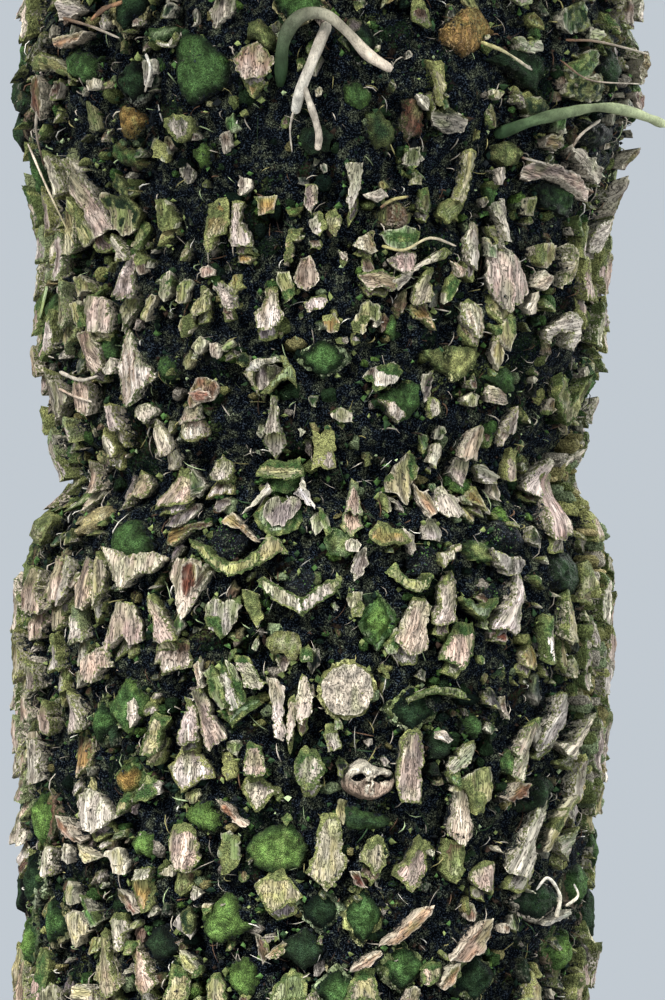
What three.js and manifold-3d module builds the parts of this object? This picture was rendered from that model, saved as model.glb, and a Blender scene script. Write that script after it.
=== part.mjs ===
// Giant dioon: a stout cycad trunk armoured with old leaf bases, and a crown of stiff feather-like fronds.
// Millimetres, +Z up. The origin is the middle of the flat cut under the trunk, at ground level,
// and the front of the plant faces -Y. The trunk leans a little towards +X.
import * as THREE from "three";
import { mergeVertices } from "three/addons/utils/BufferGeometryUtils.js";
import Module from "manifold-3d";

const wasm = await Module();
wasm.setup();

// Driving dimensions of the trunk
const trunkHeight = 1480; // ground to the shoulder where the living fronds begin
const trunkLean = 1.5; // degrees towards +X
const domeHeight = 130; // rise of the growing tip above the shoulder
const basesAround = 22; // large leaf bases in one ring
const baseRise = 39; // height from one ring of leaf bases to the next
const baseProud = 15; // how far a leaf base stands out of the groove round it
const domeRings = 5;
const domeShrink = 0.4; // how much lower the leaf bases of the dome are
const tipRise = [0.1, 0.35]; // where a leaf base's blunt point sits above its middle, as shares of baseRise
const tipWear = 0.03; // share of the radius that wear has taken from the most worn of them
// Radius over the leaf bases at a few heights: each flush of growth left a swelling and a waist
const girth = [
  [0, 214],
  [60, 203],
  [190, 188],
  [300, 196],
  [400, 186],
  [473, 189],
  [604, 192],
  [735, 196],
  [775, 190],
  [813, 168],
  [850, 180],
  [900, 188],
  [963, 186],
  [1061, 207],
  [1150, 200],
  [1250, 186],
  [1350, 193],
  [1480, 176],
];

// Driving dimensions of the crown
const frondCount = 42;
const goldenAngle = 137.50776; // degrees from one frond to the next round the tip
// Each pair of numbers goes from the youngest frond to the oldest
const frondLength = [1180, 1620];
const frondRise = [84, 12]; // degrees above level where it leaves the tip
const frondDroop = [24, 46]; // degrees that it bends down by its end
const frondSpread = [0.1, 0.93]; // share of the tip's area inside its foot, which leaves room for the bud
const riseEase = 0.85; // below 1, the fronds leave the upright sooner with age
const droopEase = 1.4; // above 1, a frond bends more towards its end
const turnScatter = 10; // degrees
const sideSway = 14; // degrees that a frond curves to one side at most
const petioleShare = 0.13; // part of the frond that is bare stalk
const leafletReach = 165; // sideways from the rib, at the widest
const leafletForward = 0.42; // how far a leaflet points forward, as a share of its sideways reach
const leafletsPerSide = 13; // each stands for about five of the real ones
const bladeThickness = 4;
const keel = 14; // degrees that each half of the blade rises from flat
const petioleWidth = 24;
const petioleDepth = 16.8;
const ribDepth = 6.4;
const ribTipWidth = 8;
const petioleSunk = 25; // the stalk is drawn this far inside the tip before it is cut back to its surface
const clearance = 0.3; // air between touching solids
const leafletClearance = 3; // least air between one frond's leaflets and another frond
const walkStep = 1 / 48; // longest step along a rib, as a share of its length

// The bud: radius and height of its outline over the crest of the tip
const budSides = 10;
const budOutline = [[0, -30], [26, -30], [26, 25], [18.7, 62], [0, 105]];

// Dried roots on the front of the bark: across, height, and how far out over rootRest
const rootRest = 8; // a root's path is measured from this far under the points of the leaf bases
const rootPlans = {
  root_arch: {
    radius: 4.5,
    steps: 14,
    path: [
      [-1, 1045, -4], [3, 1070, 7], [13, 1083, 13], [27, 1084, 16], [40, 1073, 18], [51, 1060, 20],
      [64, 1051, 22],
    ],
  },
  root_hanging: {
    radius: 3.5,
    steps: 8,
    path: [[29, 1081, 3], [20, 1058, 8], [13, 1041, 8], [9, 1029, 1]],
  },
  root_side: {
    radius: 4,
    steps: 12,
    path: [
      [136, 1020, -4], [151, 1028, 8], [167, 1034, 16], [184, 1039, 22], [201, 1039, 26],
      [221, 1037, 30],
    ],
  },
};

const barkMaterial = new THREE.MeshStandardMaterial({ color: 0x4a463a, roughness: 0.95 });
const frondMaterial = new THREE.MeshStandardMaterial({ color: 0x3f6b2c, roughness: 0.5 });
const budMaterial = new THREE.MeshStandardMaterial({ color: 0x8a7350, roughness: 0.9 });
const rootMaterial = new THREE.MeshStandardMaterial({ color: 0xa8a58c, roughness: 0.8 });

const radians = THREE.MathUtils.degToRad;
const mix = THREE.MathUtils.lerp;

// A repeatable number from 0 to 1 for a whole number and a purpose
function chance(i, purpose) {
  const wave = Math.sin(i * 12.9898 + purpose * 78.233) * 43758.5453;
  return wave - Math.floor(wave);
}

function trunkAxis(z) {
  return z * Math.tan(radians(trunkLean));
}

// Radius over the leaf bases at a height, eased between the heights in girth
function trunkRadius(z) {
  const last = girth.length - 1;
  if (z >= girth[last][0]) return girth[last][1];
  let k = 0;
  while (z > girth[k + 1][0]) k += 1;
  const [z0, r0] = girth[k];
  const [z1, r1] = girth[k + 1];
  return mix(r0, r1, THREE.MathUtils.smoothstep(z, z0, z1));
}

// Height and radius of the trunk's outline at ring number k, over the shoulder and round the tip
function outlineAt(k) {
  const shaftRings = Math.round(trunkHeight / baseRise);
  if (k <= shaftRings) {
    const z = (k / shaftRings) * trunkHeight;
    return { z, r: trunkRadius(z) };
  }
  const turn = ((k - shaftRings) / (domeRings + 1)) * (Math.PI / 2);
  return {
    z: trunkHeight + domeHeight * Math.sin(turn),
    r: trunkRadius(trunkHeight) * Math.cos(turn),
  };
}

// A point round the trunk's axis. Turn 0 faces -Y, and a quarter turn faces +X.
function roundTrunk(turn, radius, z) {
  return new THREE.Vector3(trunkAxis(z) + radius * Math.sin(turn), -radius * Math.cos(turn), z);
}

function solidFrom(points, triangles) {
  const vertProperties = new Float32Array(points.flatMap((p) => [p.x, p.y, p.z]));
  const triVerts = new Uint32Array(triangles.flat());
  return new wasm.Manifold(new wasm.Mesh({ numProp: 3, vertProperties, triVerts }));
}

function solidFromGeometry(geometry) {
  const bare = geometry.clone();
  bare.deleteAttribute("normal");
  bare.deleteAttribute("uv");
  const merged = mergeVertices(bare, 1e-3);
  return new wasm.Manifold(
    new wasm.Mesh({
      numProp: 3,
      vertProperties: new Float32Array(merged.attributes.position.array),
      triVerts: new Uint32Array(merged.index.array),
    }),
  );
}

function largestPiece(solid) {
  return solid.decompose().sort((a, b) => b.volume() - a.volume())[0];
}

// Whether two solids share any space. The library's solids are freed by hand, so that memory lasts.
function touches(a, b) {
  const shared = a.intersect(b);
  const found = !shared.isEmpty();
  shared.delete();
  return found;
}

function meshFrom(name, solid, material) {
  const { numVert, numProp, vertProperties, triVerts } = solid.getMesh();
  const positions = new Float32Array(numVert * 3);
  for (let i = 0; i < numVert; i += 1) {
    positions.set(vertProperties.subarray(i * numProp, i * numProp + 3), i * 3);
  }
  const geometry = new THREE.BufferGeometry()
    .setAttribute("position", new THREE.BufferAttribute(positions, 3))
    .setIndex(new THREE.BufferAttribute(new Uint32Array(triVerts), 1));
  geometry.computeVertexNormals();
  const mesh = new THREE.Mesh(geometry, material);
  mesh.name = name;
  return mesh;
}

// The trunk: staggered rings of points lie in the grooves, and each diamond of four of them
// carries the blunt point of one leaf base. grow swells it evenly, for cutting clearances.
function trunkSolid(grow = 0) {
  const rings = Math.round(trunkHeight / baseRise) + domeRings;
  const points = [];
  const triangles = [];
  const step = (2 * Math.PI) / basesAround;
  const grooveAt = (ring, slot) => ring * basesAround + ((slot + basesAround) % basesAround);
  for (let ring = 0; ring <= rings; ring += 1) {
    const { z, r } = outlineAt(ring);
    const depth = ring === 0 ? 0 : baseProud;
    for (let slot = 0; slot < basesAround; slot += 1) {
      const turn = (slot + (ring % 2) / 2) * step;
      const foot = ring === 0 ? -grow : z;
      points.push(roundTrunk(turn, r - depth + grow, foot));
    }
  }
  for (let ring = 0; ring + 1 <= rings; ring += 1) {
    // The odd rings stand half a slot on, so the neighbours above differ by ring
    const shift = ring % 2;
    for (let slot = 0; slot < basesAround; slot += 1) {
      const low = grooveAt(ring, slot);
      const left = grooveAt(ring + 1, slot - 1 + shift);
      const right = grooveAt(ring + 1, slot + shift);
      if (ring === 0) triangles.push([low, grooveAt(0, slot + 1), right]);
      if (ring + 2 > rings) {
        triangles.push([low, right, left]);
        continue;
      }
      const high = grooveAt(ring + 2, slot);
      const { z, r } = outlineAt(ring + 1);
      const rise = baseRise * mix(...tipRise, chance(low, 1));
      const proud = r * mix(1 - tipWear, 1, chance(low, 2)) + grow;
      const shrink = ring + 1 > rings - domeRings ? domeShrink : 1;
      points.push(roundTrunk((slot + shift / 2) * step, proud, z + rise * shrink));
      const tip = points.length - 1;
      triangles.push([low, right, tip], [right, high, tip], [high, left, tip], [left, low, tip]);
    }
  }
  points.push(roundTrunk(0, 0, -grow), roundTrunk(0, 0, trunkHeight + domeHeight + grow));
  const [floor, crest] = [points.length - 2, points.length - 1];
  for (let slot = 0; slot < basesAround; slot += 1) {
    triangles.push([floor, grooveAt(0, slot + 1), grooveAt(0, slot)]);
    triangles.push([crest, grooveAt(rings, slot), grooveAt(rings, slot + 1)]);
  }
  return solidFrom(points, triangles);
}

// Where frond i leaves the tip, which way it sets off, and how it arches. Frond 0 is the oldest.
function frondPlan(i) {
  const age = 1 - (i + 0.5) / frondCount;
  const turn = radians(i * goldenAngle + turnScatter * (chance(i, 3) - 0.5));
  const spread = Math.sqrt(mix(...frondSpread, age));
  const foot = roundTrunk(
    turn,
    trunkRadius(trunkHeight) * spread,
    trunkHeight + domeHeight * Math.sqrt(1 - spread * spread),
  );
  return {
    foot,
    turn,
    length: mix(...frondLength, Math.sqrt(age)) * mix(0.94, 1.04, chance(i, 4)),
    rise: radians(mix(...frondRise, Math.pow(age, riseEase))),
    droop: radians(mix(...frondDroop, age) * mix(0.85, 1.15, chance(i, 5))),
    sway: radians(sideSway * (chance(i, 6) - 0.5)),
  };
}

// Stations along a frond's rib, each a point with its forward, sideways and upward directions
function ribStations(plan, shares) {
  const at = plan.foot.clone();
  const out = [];
  const frameAt = (share) => {
    const lift = plan.rise - plan.droop * Math.pow(share, droopEase);
    const heading = plan.turn + plan.sway * share;
    const forward = new THREE.Vector3(
      Math.cos(lift) * Math.sin(heading),
      -Math.cos(lift) * Math.cos(heading),
      Math.sin(lift),
    );
    const side = new THREE.Vector3(Math.cos(heading), Math.sin(heading), 0);
    return { forward, side, upward: new THREE.Vector3().crossVectors(forward, side) };
  };
  let walked = -petioleSunk / plan.length;
  at.addScaledVector(frameAt(0).forward, -petioleSunk);
  for (const share of shares) {
    while (walked < share - 1e-9) {
      const move = Math.min(share - walked, walkStep);
      const { forward } = frameAt(Math.max(0, walked + move / 2));
      at.addScaledVector(forward, move * plan.length);
      walked += move;
    }
    out.push({ share, at: at.clone(), ...frameAt(Math.max(0, share)) });
  }
  return out;
}

// Sideways reach of the leaflets along the blade, from 0 at its start to 1 at its tip
function bladeReach(t) {
  const swell = Math.pow(Math.sin(Math.PI * Math.min(1, 0.1 + 0.62 * t)), 0.7);
  const taper = 1 - 0.72 * Math.pow(t, 3);
  return leafletReach * Math.min(1, 0.2 + 2.4 * t) * swell * taper;
}

function leafletTip(station, next, side, reach) {
  const middle = station.at.clone().lerp(next.at, 0.5);
  const lift = Math.tan(radians(keel)) * reach;
  return middle
    .addScaledVector(station.side, side * reach)
    .addScaledVector(station.forward, reach * leafletForward)
    .addScaledVector(station.upward, lift);
}

function ribWidth(share) {
  return mix(petioleWidth, ribTipWidth, THREE.MathUtils.smoothstep(share, -0.05, 0.9));
}

// One frond as a closed blade. skipped holds the leaflets that are left out, as side and step.
function frondSolid(plan, skipped) {
  const shares = [-petioleSunk / plan.length, petioleShare / 2];
  const stalkSteps = shares.length;
  for (let k = 0; k <= leafletsPerSide; k += 1) {
    shares.push(mix(petioleShare, 1, k / leafletsPerSide));
  }
  const stations = ribStations(plan, shares);
  const points = [];
  const triangles = [];
  // Each station has four points: left and right, below and above
  stations.forEach(({ at, side, upward, share }) => {
    const half = ribWidth(share) / 2;
    const thick = share < petioleShare ? petioleDepth : ribDepth;
    for (const [across, over] of [[-1, -1], [1, -1], [1, 1], [-1, 1]]) {
      const corner = at.clone().addScaledVector(side, across * half);
      points.push(corner.addScaledVector(upward, (over * thick) / 2));
    }
  });
  const quad = (a, b, c, d) => triangles.push([a, b, c], [a, c, d]);
  for (let k = 0; k + 1 < stations.length; k += 1) {
    const [here, ahead] = [k * 4, (k + 1) * 4];
    quad(here, here + 1, ahead + 1, ahead);
    quad(here + 2, here + 3, ahead + 3, ahead + 2);
    for (const side of [-1, 1]) {
      const step = k - stalkSteps;
      const order = side > 0
        ? [here + 1, here + 2, ahead + 2, ahead + 1]
        : [here + 3, here, ahead, ahead + 3];
      if (step < 0 || skipped.has(side * (step + 1))) {
        quad(...order);
        continue;
      }
      const reach = bladeReach((step + 0.5) / leafletsPerSide);
      const tip = leafletTip(stations[k], stations[k + 1], side, reach);
      const half = stations[k].upward.clone().multiplyScalar(bladeThickness / 2);
      points.push(tip.clone().sub(half), tip.clone().add(half));
      const [low, high] = [points.length - 2, points.length - 1];
      const [a, b, c, d] = order;
      // a and d are one edge of the rib's side wall, b and c the other
      const [first, second] = side > 0 ? [low, high] : [high, low];
      triangles.push([a, first, d], [b, c, second]);
      quad(a, b, second, first);
      quad(first, second, c, d);
    }
  }
  quad(3, 2, 1, 0);
  const end = (stations.length - 1) * 4;
  quad(end, end + 1, end + 2, end + 3);
  return solidFrom(points, triangles);
}

// A thin wedge round one leaflet, used only to ask whether it would touch another frond
function leafletProbe(plan, side, step) {
  const shares = [step, step + 1].map((k) => mix(petioleShare, 1, k / leafletsPerSide));
  const [near, far] = ribStations(plan, shares);
  const reach = bladeReach((step + 0.5) / leafletsPerSide);
  const tip = leafletTip(near, far, side, reach);
  const pad = bladeThickness / 2 + leafletClearance;
  const corners = [near.at, far.at, tip];
  const lift = near.upward.clone().multiplyScalar(pad);
  const points = [
    ...corners.map((p) => p.clone().sub(lift)),
    ...corners.map((p) => p.clone().add(lift)),
  ];
  const faces = [
    [0, 1, 2], [3, 5, 4], [0, 3, 4], [0, 4, 1], [1, 4, 5], [1, 5, 2], [2, 5, 3], [2, 3, 0],
  ];
  const turned = side > 0 ? faces : faces.map(([a, b, c]) => [a, c, b]);
  return solidFrom(points, turned);
}

// A limb of round section along a smooth path
function tubeSolid(path, radius, stepsAlong, sides = 8) {
  const curve = new THREE.CatmullRomCurve3(path);
  const ring = new THREE.Shape(
    Array.from({ length: sides }, (_, i) => {
      const turn = (i / sides) * 2 * Math.PI;
      return new THREE.Vector2(radius * Math.cos(turn), radius * Math.sin(turn));
    }),
  );
  const settings = { steps: stepsAlong, extrudePath: curve, curveSegments: sides };
  return solidFromGeometry(new THREE.ExtrudeGeometry(ring, settings));
}

// A point on or off the bark, from a distance across the front, a height, and how far out it stands
function offBark(across, z, out) {
  const turn = Math.asin((across - trunkAxis(z)) / trunkRadius(z));
  return roundTrunk(turn, trunkRadius(z) - rootRest + out, z);
}

const dioon = new THREE.Group();
const trunk = trunkSolid();
const trunkSwollen = trunkSolid(clearance);
dioon.add(meshFrom("trunk", trunk, barkMaterial));

// The bud of young scales in the middle of the tip
const budProfile = budOutline.map(([r, z]) => new THREE.Vector2(r, z));
const bud = new THREE.LatheGeometry(budProfile, budSides)
  .rotateX(Math.PI / 2)
  .translate(trunkAxis(trunkHeight + domeHeight), 0, trunkHeight + domeHeight);
const budSolid = largestPiece(solidFromGeometry(bud).subtract(trunkSwollen));
dioon.add(meshFrom("crown_bud", budSolid, budMaterial));

// Fronds from the oldest to the youngest. A leaflet that would touch an earlier frond is left out.
const earlierFronds = [];
for (let i = 0; i < frondCount; i += 1) {
  const plan = frondPlan(i);
  const skipped = new Set();
  for (let step = 0; step < leafletsPerSide; step += 1) {
    for (const side of [-1, 1]) {
      const probe = leafletProbe(plan, side, step);
      if (earlierFronds.some((earlier) => touches(probe, earlier))) skipped.add(side * (step + 1));
      probe.delete();
    }
  }
  const whole = frondSolid(plan, skipped);
  const frond = largestPiece(whole.subtract(trunkSwollen));
  whole.delete();
  earlierFronds.push(frond);
  const name = `frond_${String(i + 1).padStart(2, "0")}`;
  dioon.add(meshFrom(name, frond, frondMaterial));
}

// Dried roots that cling to the front of the bark, each sunk a little into the grooves and cut clear
const placed = [];
for (const [name, { radius, steps, path }] of Object.entries(rootPlans)) {
  const line = path.map((stop) => offBark(...stop));
  let solid = tubeSolid(line, radius, steps).subtract(trunkSwollen);
  for (const earlier of placed) solid = solid.subtract(earlier);
  placed.push(tubeSolid(line, radius + clearance, steps));
  dioon.add(meshFrom(name, largestPiece(solid), rootMaterial));
}

export default dioon;
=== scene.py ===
import math
from itertools import product

import bpy
import numpy as np
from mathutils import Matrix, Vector
from mathutils.geometry import delaunay_2d_cdt


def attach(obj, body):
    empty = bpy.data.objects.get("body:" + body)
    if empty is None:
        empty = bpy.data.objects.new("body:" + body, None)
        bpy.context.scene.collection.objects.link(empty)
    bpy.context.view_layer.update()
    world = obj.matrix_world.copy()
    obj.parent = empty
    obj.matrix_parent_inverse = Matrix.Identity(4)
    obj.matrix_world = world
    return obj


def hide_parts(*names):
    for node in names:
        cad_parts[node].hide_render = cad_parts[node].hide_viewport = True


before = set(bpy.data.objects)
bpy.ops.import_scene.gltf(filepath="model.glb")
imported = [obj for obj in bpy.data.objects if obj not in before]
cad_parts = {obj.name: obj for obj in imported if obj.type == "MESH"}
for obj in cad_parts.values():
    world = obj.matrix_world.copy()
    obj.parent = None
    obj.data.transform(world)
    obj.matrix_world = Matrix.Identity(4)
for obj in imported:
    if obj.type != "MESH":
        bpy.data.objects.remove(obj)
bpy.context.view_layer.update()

# The trunk that everything grows on: the same height, lean and girth as the solid one, in metres
trunk = {
    "height": 1.48,
    "lean": math.radians(1.5),
    "dome": 0.130,
    "domeArc": 0.235,  # from the shoulder over to the crest
    "armour": 0.014,  # how far the leaf bases stand over the core
    "goldenAngle": math.radians(137.50776),
    "girth": [
        (0, 0.214), (0.060, 0.203), (0.190, 0.188), (0.300, 0.196), (0.400, 0.186),
        (0.473, 0.189), (0.604, 0.192), (0.735, 0.196), (0.775, 0.190), (0.813, 0.168),
        (0.850, 0.180), (0.900, 0.188), (0.963, 0.186), (1.061, 0.207), (1.150, 0.200),
        (1.250, 0.186), (1.350, 0.193), (1.480, 0.176),
    ],
}

# The camera stands level with the middle of the stretch in the photograph
view = {"distance": 2.0, "height": 0.80, "aside": 0.0317, "lens": 110, "film": 36, "frame": (665, 1000),
        "mostTurn": 1.45, "leastFacing": 0.42}  # how far round a place is read, and how foreshortened
focalPixels = view["lens"] / view["film"] * view["frame"][1]

# The bark in the picture and the rest of it: how far round, and from which height to which
seen = {"turn": 1.6, "low": 0.47, "high": 1.14, "radius": 0.185}
wholeTurn = 2 * math.pi
unseenTurn = (1.5, wholeTurn - 1.5)

# Plain colours of bark, moss and leaf, as they look in daylight
paints = {
    "paleTan": "dbcbb8", "pinkTan": "cab09b", "greyTan": "bcb2a2", "cream": "e8dec8",
    "ochre": "a8884f", "brown": "6b5341", "darkBrown": "3a2e26", "rust": "7c4836",
    "orangeTan": "a8805e", "purple": "7c706e", "olive": "85915a", "oliveTan": "aaa26e",
    "moss": "587a44", "brightMoss": "7a9c50", "darkMoss": "33492f", "deepMoss": "1b2b22",
    "yellowGreen": "c0c27c", "paleGreen": "a6b78a", "lichen": "e0cf96", "black": "0e1317",
    "charcoal": "191d1f", "white": "e4dfd2", "rootGreen": "b9c096", "leaf": "366128",
    "leafLight": "608438", "leafDark": "264a22", "wool": "b59a72",
}


def linearColour(code):
    values = np.array([int(code[i:i + 2], 16) / 255 for i in (0, 2, 4)])
    return np.where(values > 0.04045, ((values + 0.055) / 1.055) ** 2.4, values / 12.92)


paint = {name: linearColour(code) for name, code in paints.items()}


def paintsOf(names, pick):
    # the colour for each number in pick
    return np.array([paint[name] for name in names])[pick]


noiseStep = np.array((12.9898, 78.233, 37.719))
noiseFold = 43758.5453
noiseSeed = 7.31


def foldWave(wave):
    # the broken-off end of a long wave: from 0 to 1, without order, and the same in each run
    long = np.sin(wave) * noiseFold
    return long - np.floor(long)


def chance(i, purpose):
    # an unchanging number from 0 to 1 for leaf i
    return foldWave(np.asarray(i) * noiseStep[0] + purpose * noiseStep[1])


def choose(options, i, purpose):
    # an unchanging choice for leaf i
    return options[int(chance(i, purpose) * (len(options) - 0.01))]


def mix(a, b, share):
    return a + (b - a) * share


def tinted(a, b, share):
    # colours a and b mixed by a share for each point
    return mix(a, b, np.asarray(share)[..., None])


def smoothStep(value, low, high):
    share = np.clip((value - low) / (high - low), 0, 1)
    return share * share * (3 - 2 * share)


def softNoise(points, size, seed=0.0):
    # smooth noise from 0 to 1 with lumps of that size
    grid = np.asarray(points, float) / size + seed * noiseSeed
    cell = np.floor(grid)
    ease = grid - cell
    ease = ease * ease * (3 - 2 * ease)
    total = 0
    for corner in product((0, 1), repeat=3):
        weight = np.prod(np.where(corner, ease, 1 - ease), axis=-1)
        total = total + weight * foldWave((cell + corner) @ noiseStep)
    return total


girthHeights, girthRadii = np.array(trunk["girth"]).T


def trunkRadius(z):
    z = np.asarray(z, float)
    last = len(girthHeights) - 2
    i = np.clip(np.searchsorted(girthHeights, z, side="right") - 1, 0, last)
    ease = smoothStep(z, girthHeights[i], girthHeights[i + 1])
    return mix(girthRadii[i], girthRadii[i + 1], ease)


def trunkAxis(z):
    return np.asarray(z, float) * math.tan(trunk["lean"])


def skin(turn, along, out):
    # a place over the core: turn 0 faces the camera, along runs up the bark and over the dome
    over = np.clip((along - trunk["height"]) / trunk["domeArc"], 0, 1) * math.pi / 2
    low = np.minimum(along, trunk["height"])
    reach = (trunkRadius(low) - trunk["armour"] + out) * np.cos(over)
    z = np.maximum(low + (trunk["dome"] - trunk["armour"] + out) * np.sin(over), 0)
    return np.stack((trunkAxis(z) + reach * np.sin(turn), -reach * np.cos(turn), z), -1)


def surfaceAt(px, py, out=0.010):
    # what a line of sight through that place of the picture meets: turn, height, metres a pixel
    slopeX = (px - view["frame"][0] / 2) / focalPixels
    slopeZ = (view["frame"][1] / 2 - py) / focalPixels
    far = view["distance"] - 0.19
    for attempt in range(6):
        z = view["height"] + slopeZ * far
        radius = float(trunkRadius(z)) - trunk["armour"] + out
        centre = float(trunkAxis(z)) - view["aside"]
        a = slopeX ** 2 + 1
        b = slopeX * centre + view["distance"]
        c = centre ** 2 + view["distance"] ** 2 - radius ** 2
        far = (b - math.sqrt(max(b * b - a * c, 0))) / a
    turn = math.atan2(slopeX * far - centre, view["distance"] - far)
    return max(-view["mostTurn"], min(view["mostTurn"], turn)), z, far / focalPixels


def facing(turn):
    # how much of its width a place there still shows
    return max(math.cos(turn), view["leastFacing"])


def boxSpot(left, right, top, bottom):
    # the middle and the real size of a thing seen in that box of the picture
    turn, along, scale = surfaceAt((left + right) / 2, (top + bottom) / 2)
    return (turn, along), ((right - left) * scale / facing(turn), (bottom - top) * scale)


def sightLine(path):
    # places in the room for points of the picture, each with how far it lies over the core
    line = []
    for px, py, out in path:
        turn, along, scale = surfaceAt(px, py, out)
        line.append(skin(turn, along, out))
    return line


class Heap:
    # gathers many small closed forms into one piece, with what the materials read at each point
    def __init__(self):
        self.count = 0
        self.layers = {name: [] for name in ("points", "quads", "tris", "tint", "growth", "grain", "moss",
                                             "grimeAndShade")}

    def add(self, points, faces, tint, moss=0.0, growth=None, grimeAndShade=0.0, grain=None):
        points = points.reshape(-1, 3)
        count = len(points)
        vectors = {"tint": tint, "growth": tint if growth is None else growth,
                   "grain": points if grain is None else grain}
        values = {"points": points, "quads": faces[0] + self.count, "tris": faces[1] + self.count}
        values |= {name: np.broadcast_to(value, (count, 3)) for name, value in vectors.items()}
        values |= {name: np.broadcast_to(value, count) for name, value in (("moss", moss), ("grimeAndShade", grimeAndShade))}
        for name, value in values.items():
            self.layers[name].append(value)
        self.count += count

    def piece(self, name, material, slotName, sharp=0):
        layer = {key: np.concatenate(parts) for key, parts in self.layers.items()}
        quads, tris = layer["quads"], layer["tris"]
        mesh = bpy.data.meshes.new(name)
        mesh.vertices.add(self.count)
        mesh.vertices.foreach_set("co", layer["points"].astype(np.float32).ravel())
        loops = np.concatenate((quads.ravel(), tris.ravel()))
        mesh.loops.add(len(loops))
        mesh.loops.foreach_set("vertex_index", loops.astype(np.int32))
        starts = np.concatenate((np.arange(len(quads)) * 4, len(quads) * 4 + np.arange(len(tris)) * 3))
        mesh.polygons.add(len(starts))
        mesh.polygons.foreach_set("loop_start", starts.astype(np.int32))
        mesh.update(calc_edges=True)
        mesh.polygons.foreach_set("use_smooth", np.full(len(starts), sharp is not None))
        for key in ("tint", "growth"):
            colours = np.ones((self.count, 4), np.float32)
            colours[:, :3] = np.clip(layer[key], 0.001, 1)
            made = mesh.color_attributes.new(key, "FLOAT_COLOR", "POINT")
            made.data.foreach_set("color", colours.ravel())
        for key in ("moss", "grimeAndShade"):
            made = mesh.attributes.new(key, "FLOAT", "POINT")
            made.data.foreach_set("value", layer[key].astype(np.float32))
        made = mesh.attributes.new("grain", "FLOAT_VECTOR", "POINT")
        made.data.foreach_set("vector", layer["grain"].astype(np.float32).ravel())
        mesh.materials.append(material)
        mesh.validate()
        if sharp:
            mesh.set_sharp_from_angle(angle=math.radians(sharp))
        made = bpy.data.objects.new(name, mesh)
        bpy.context.scene.collection.objects.link(made)
        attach(made, "root")
        print(name, len(quads) * 2 + len(tris), "triangles")
        return made


(plates, grownStubs, farStubs, leafBases, farBases, chips, coreHeap, flakes, hairs, crumbs, tufts, roots,
 budHeap, ribs, olderLeaves, youngerLeaves) = (Heap() for kind in range(16))

loftCache = {}


def loftFaces(rings, around):
    # faces of a tube of rings with a fan at each end, whose middles are the last two points
    if (rings, around) not in loftCache:
        here = np.arange(around)
        there = (here + 1) % around
        low = np.arange(rings - 1)[:, None] * around
        quads = np.stack((low + here, low + around + here, low + around + there, low + there), -1)
        top = (rings - 1) * around
        start = np.full(around, rings * around)
        tris = np.concatenate((np.stack((start, here, there), -1),
                               np.stack((start + 1, top + there, top + here), -1)))
        loftCache[rings, around] = quads.reshape(-1, 4), tris
    return loftCache[rings, around]


def closeLoft(rings):
    # rings of shape (rings, around, 3) with the middles of both ends added
    ends = np.stack((rings[0].mean(0), rings[-1].mean(0)))
    return np.concatenate((rings.reshape(-1, 3), ends)), loftFaces(*rings.shape[:2])


def addMany(heap, rings, tint, moss=0.0, growth=None, grimeAndShade=0.0):
    # many lofts at once: rings of shape (pieces, rings, around, 3), with one value for each piece
    pieces, steps, around = rings.shape[:3]
    ends = np.stack((rings[:, 0].mean(1), rings[:, -1].mean(1)), 1)
    points = np.concatenate((rings.reshape(pieces, -1, 3), ends), 1)
    size = points.shape[1]
    shift = (np.arange(pieces) * size)[:, None, None]
    faces = [(part[None] + shift).reshape(-1, part.shape[1]) for part in loftFaces(steps, around)]
    layers = [np.repeat(value, size, 0) if isinstance(value, np.ndarray) else value
              for value in (tint, moss, growth, grimeAndShade)]
    heap.add(points.reshape(-1, 3), faces, *layers)


def turned(corners, roll):
    return corners @ np.array(((math.cos(roll), math.sin(roll)), (-math.sin(roll), math.cos(roll))))


def settle(local, turn, along, roll=0.0):
    # lays a flat-built form on the bark: across, up and out become a place over the core
    across = local[..., 0] * math.cos(roll) + local[..., 1] * math.sin(roll)
    up = local[..., 1] * math.cos(roll) - local[..., 0] * math.sin(roll)
    radius = float(trunkRadius(min(along, trunk["height"])))
    over = max(0, min((along - trunk["height"]) / trunk["domeArc"], 0.9)) * math.pi / 2
    return skin(turn + across / (radius * math.cos(over)), along + up, local[..., 2])


# A hollow base with two holes under an arched lip and pale fibres between them. The outline and the holes are
# given across and up, as shares of half its width and half its height
holes = {
    "box": (343, 398, 760, 802), "roll": 0.05, "around": 48, "rings": 20, "proud": 0.0135, "deep": 0.0085,
    "outline": "-1.0 -0.45 -1.03 -0.05 -0.93 0.38 -0.72 0.76 -0.46 1.0 -0.14 0.97 0.08 0.74 0.38 0.66 "
               "0.74 0.60 1.0 0.33 1.02 -0.06 0.86 -0.48 0.54 -0.76 0.24 -0.96 -0.10 -1.0 "
               "-0.48 -0.86 -0.76 -0.68",
    "pair": ((-0.44, 0.13, 0.27, 0.17), (0.42, 0.12, 0.46, 0.15)),  # across, up, half width, half height
    "fibres": (-0.10, 0.07),
}


def readCorners(text):
    return np.array(text.split(), float).reshape(-1, 2)


def holeRings(seed):
    # angles round the outline, and how far each ring reaches there
    corners = readCorners(holes["outline"])
    bearing = np.arctan2(corners[:, 1], corners[:, 0])
    order = np.argsort(bearing)
    angle = np.linspace(0, wholeTurn, holes["around"], endpoint=False)[None, :]
    reach = np.interp(angle, bearing[order], np.linalg.norm(corners, axis=1)[order], period=wholeTurn)
    ring = np.stack((np.cos(angle), np.sin(angle), angle * 0), -1)
    return angle, reach * (1 + 0.08 * (softNoise(ring, 0.35, seed) - 0.5))


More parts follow.
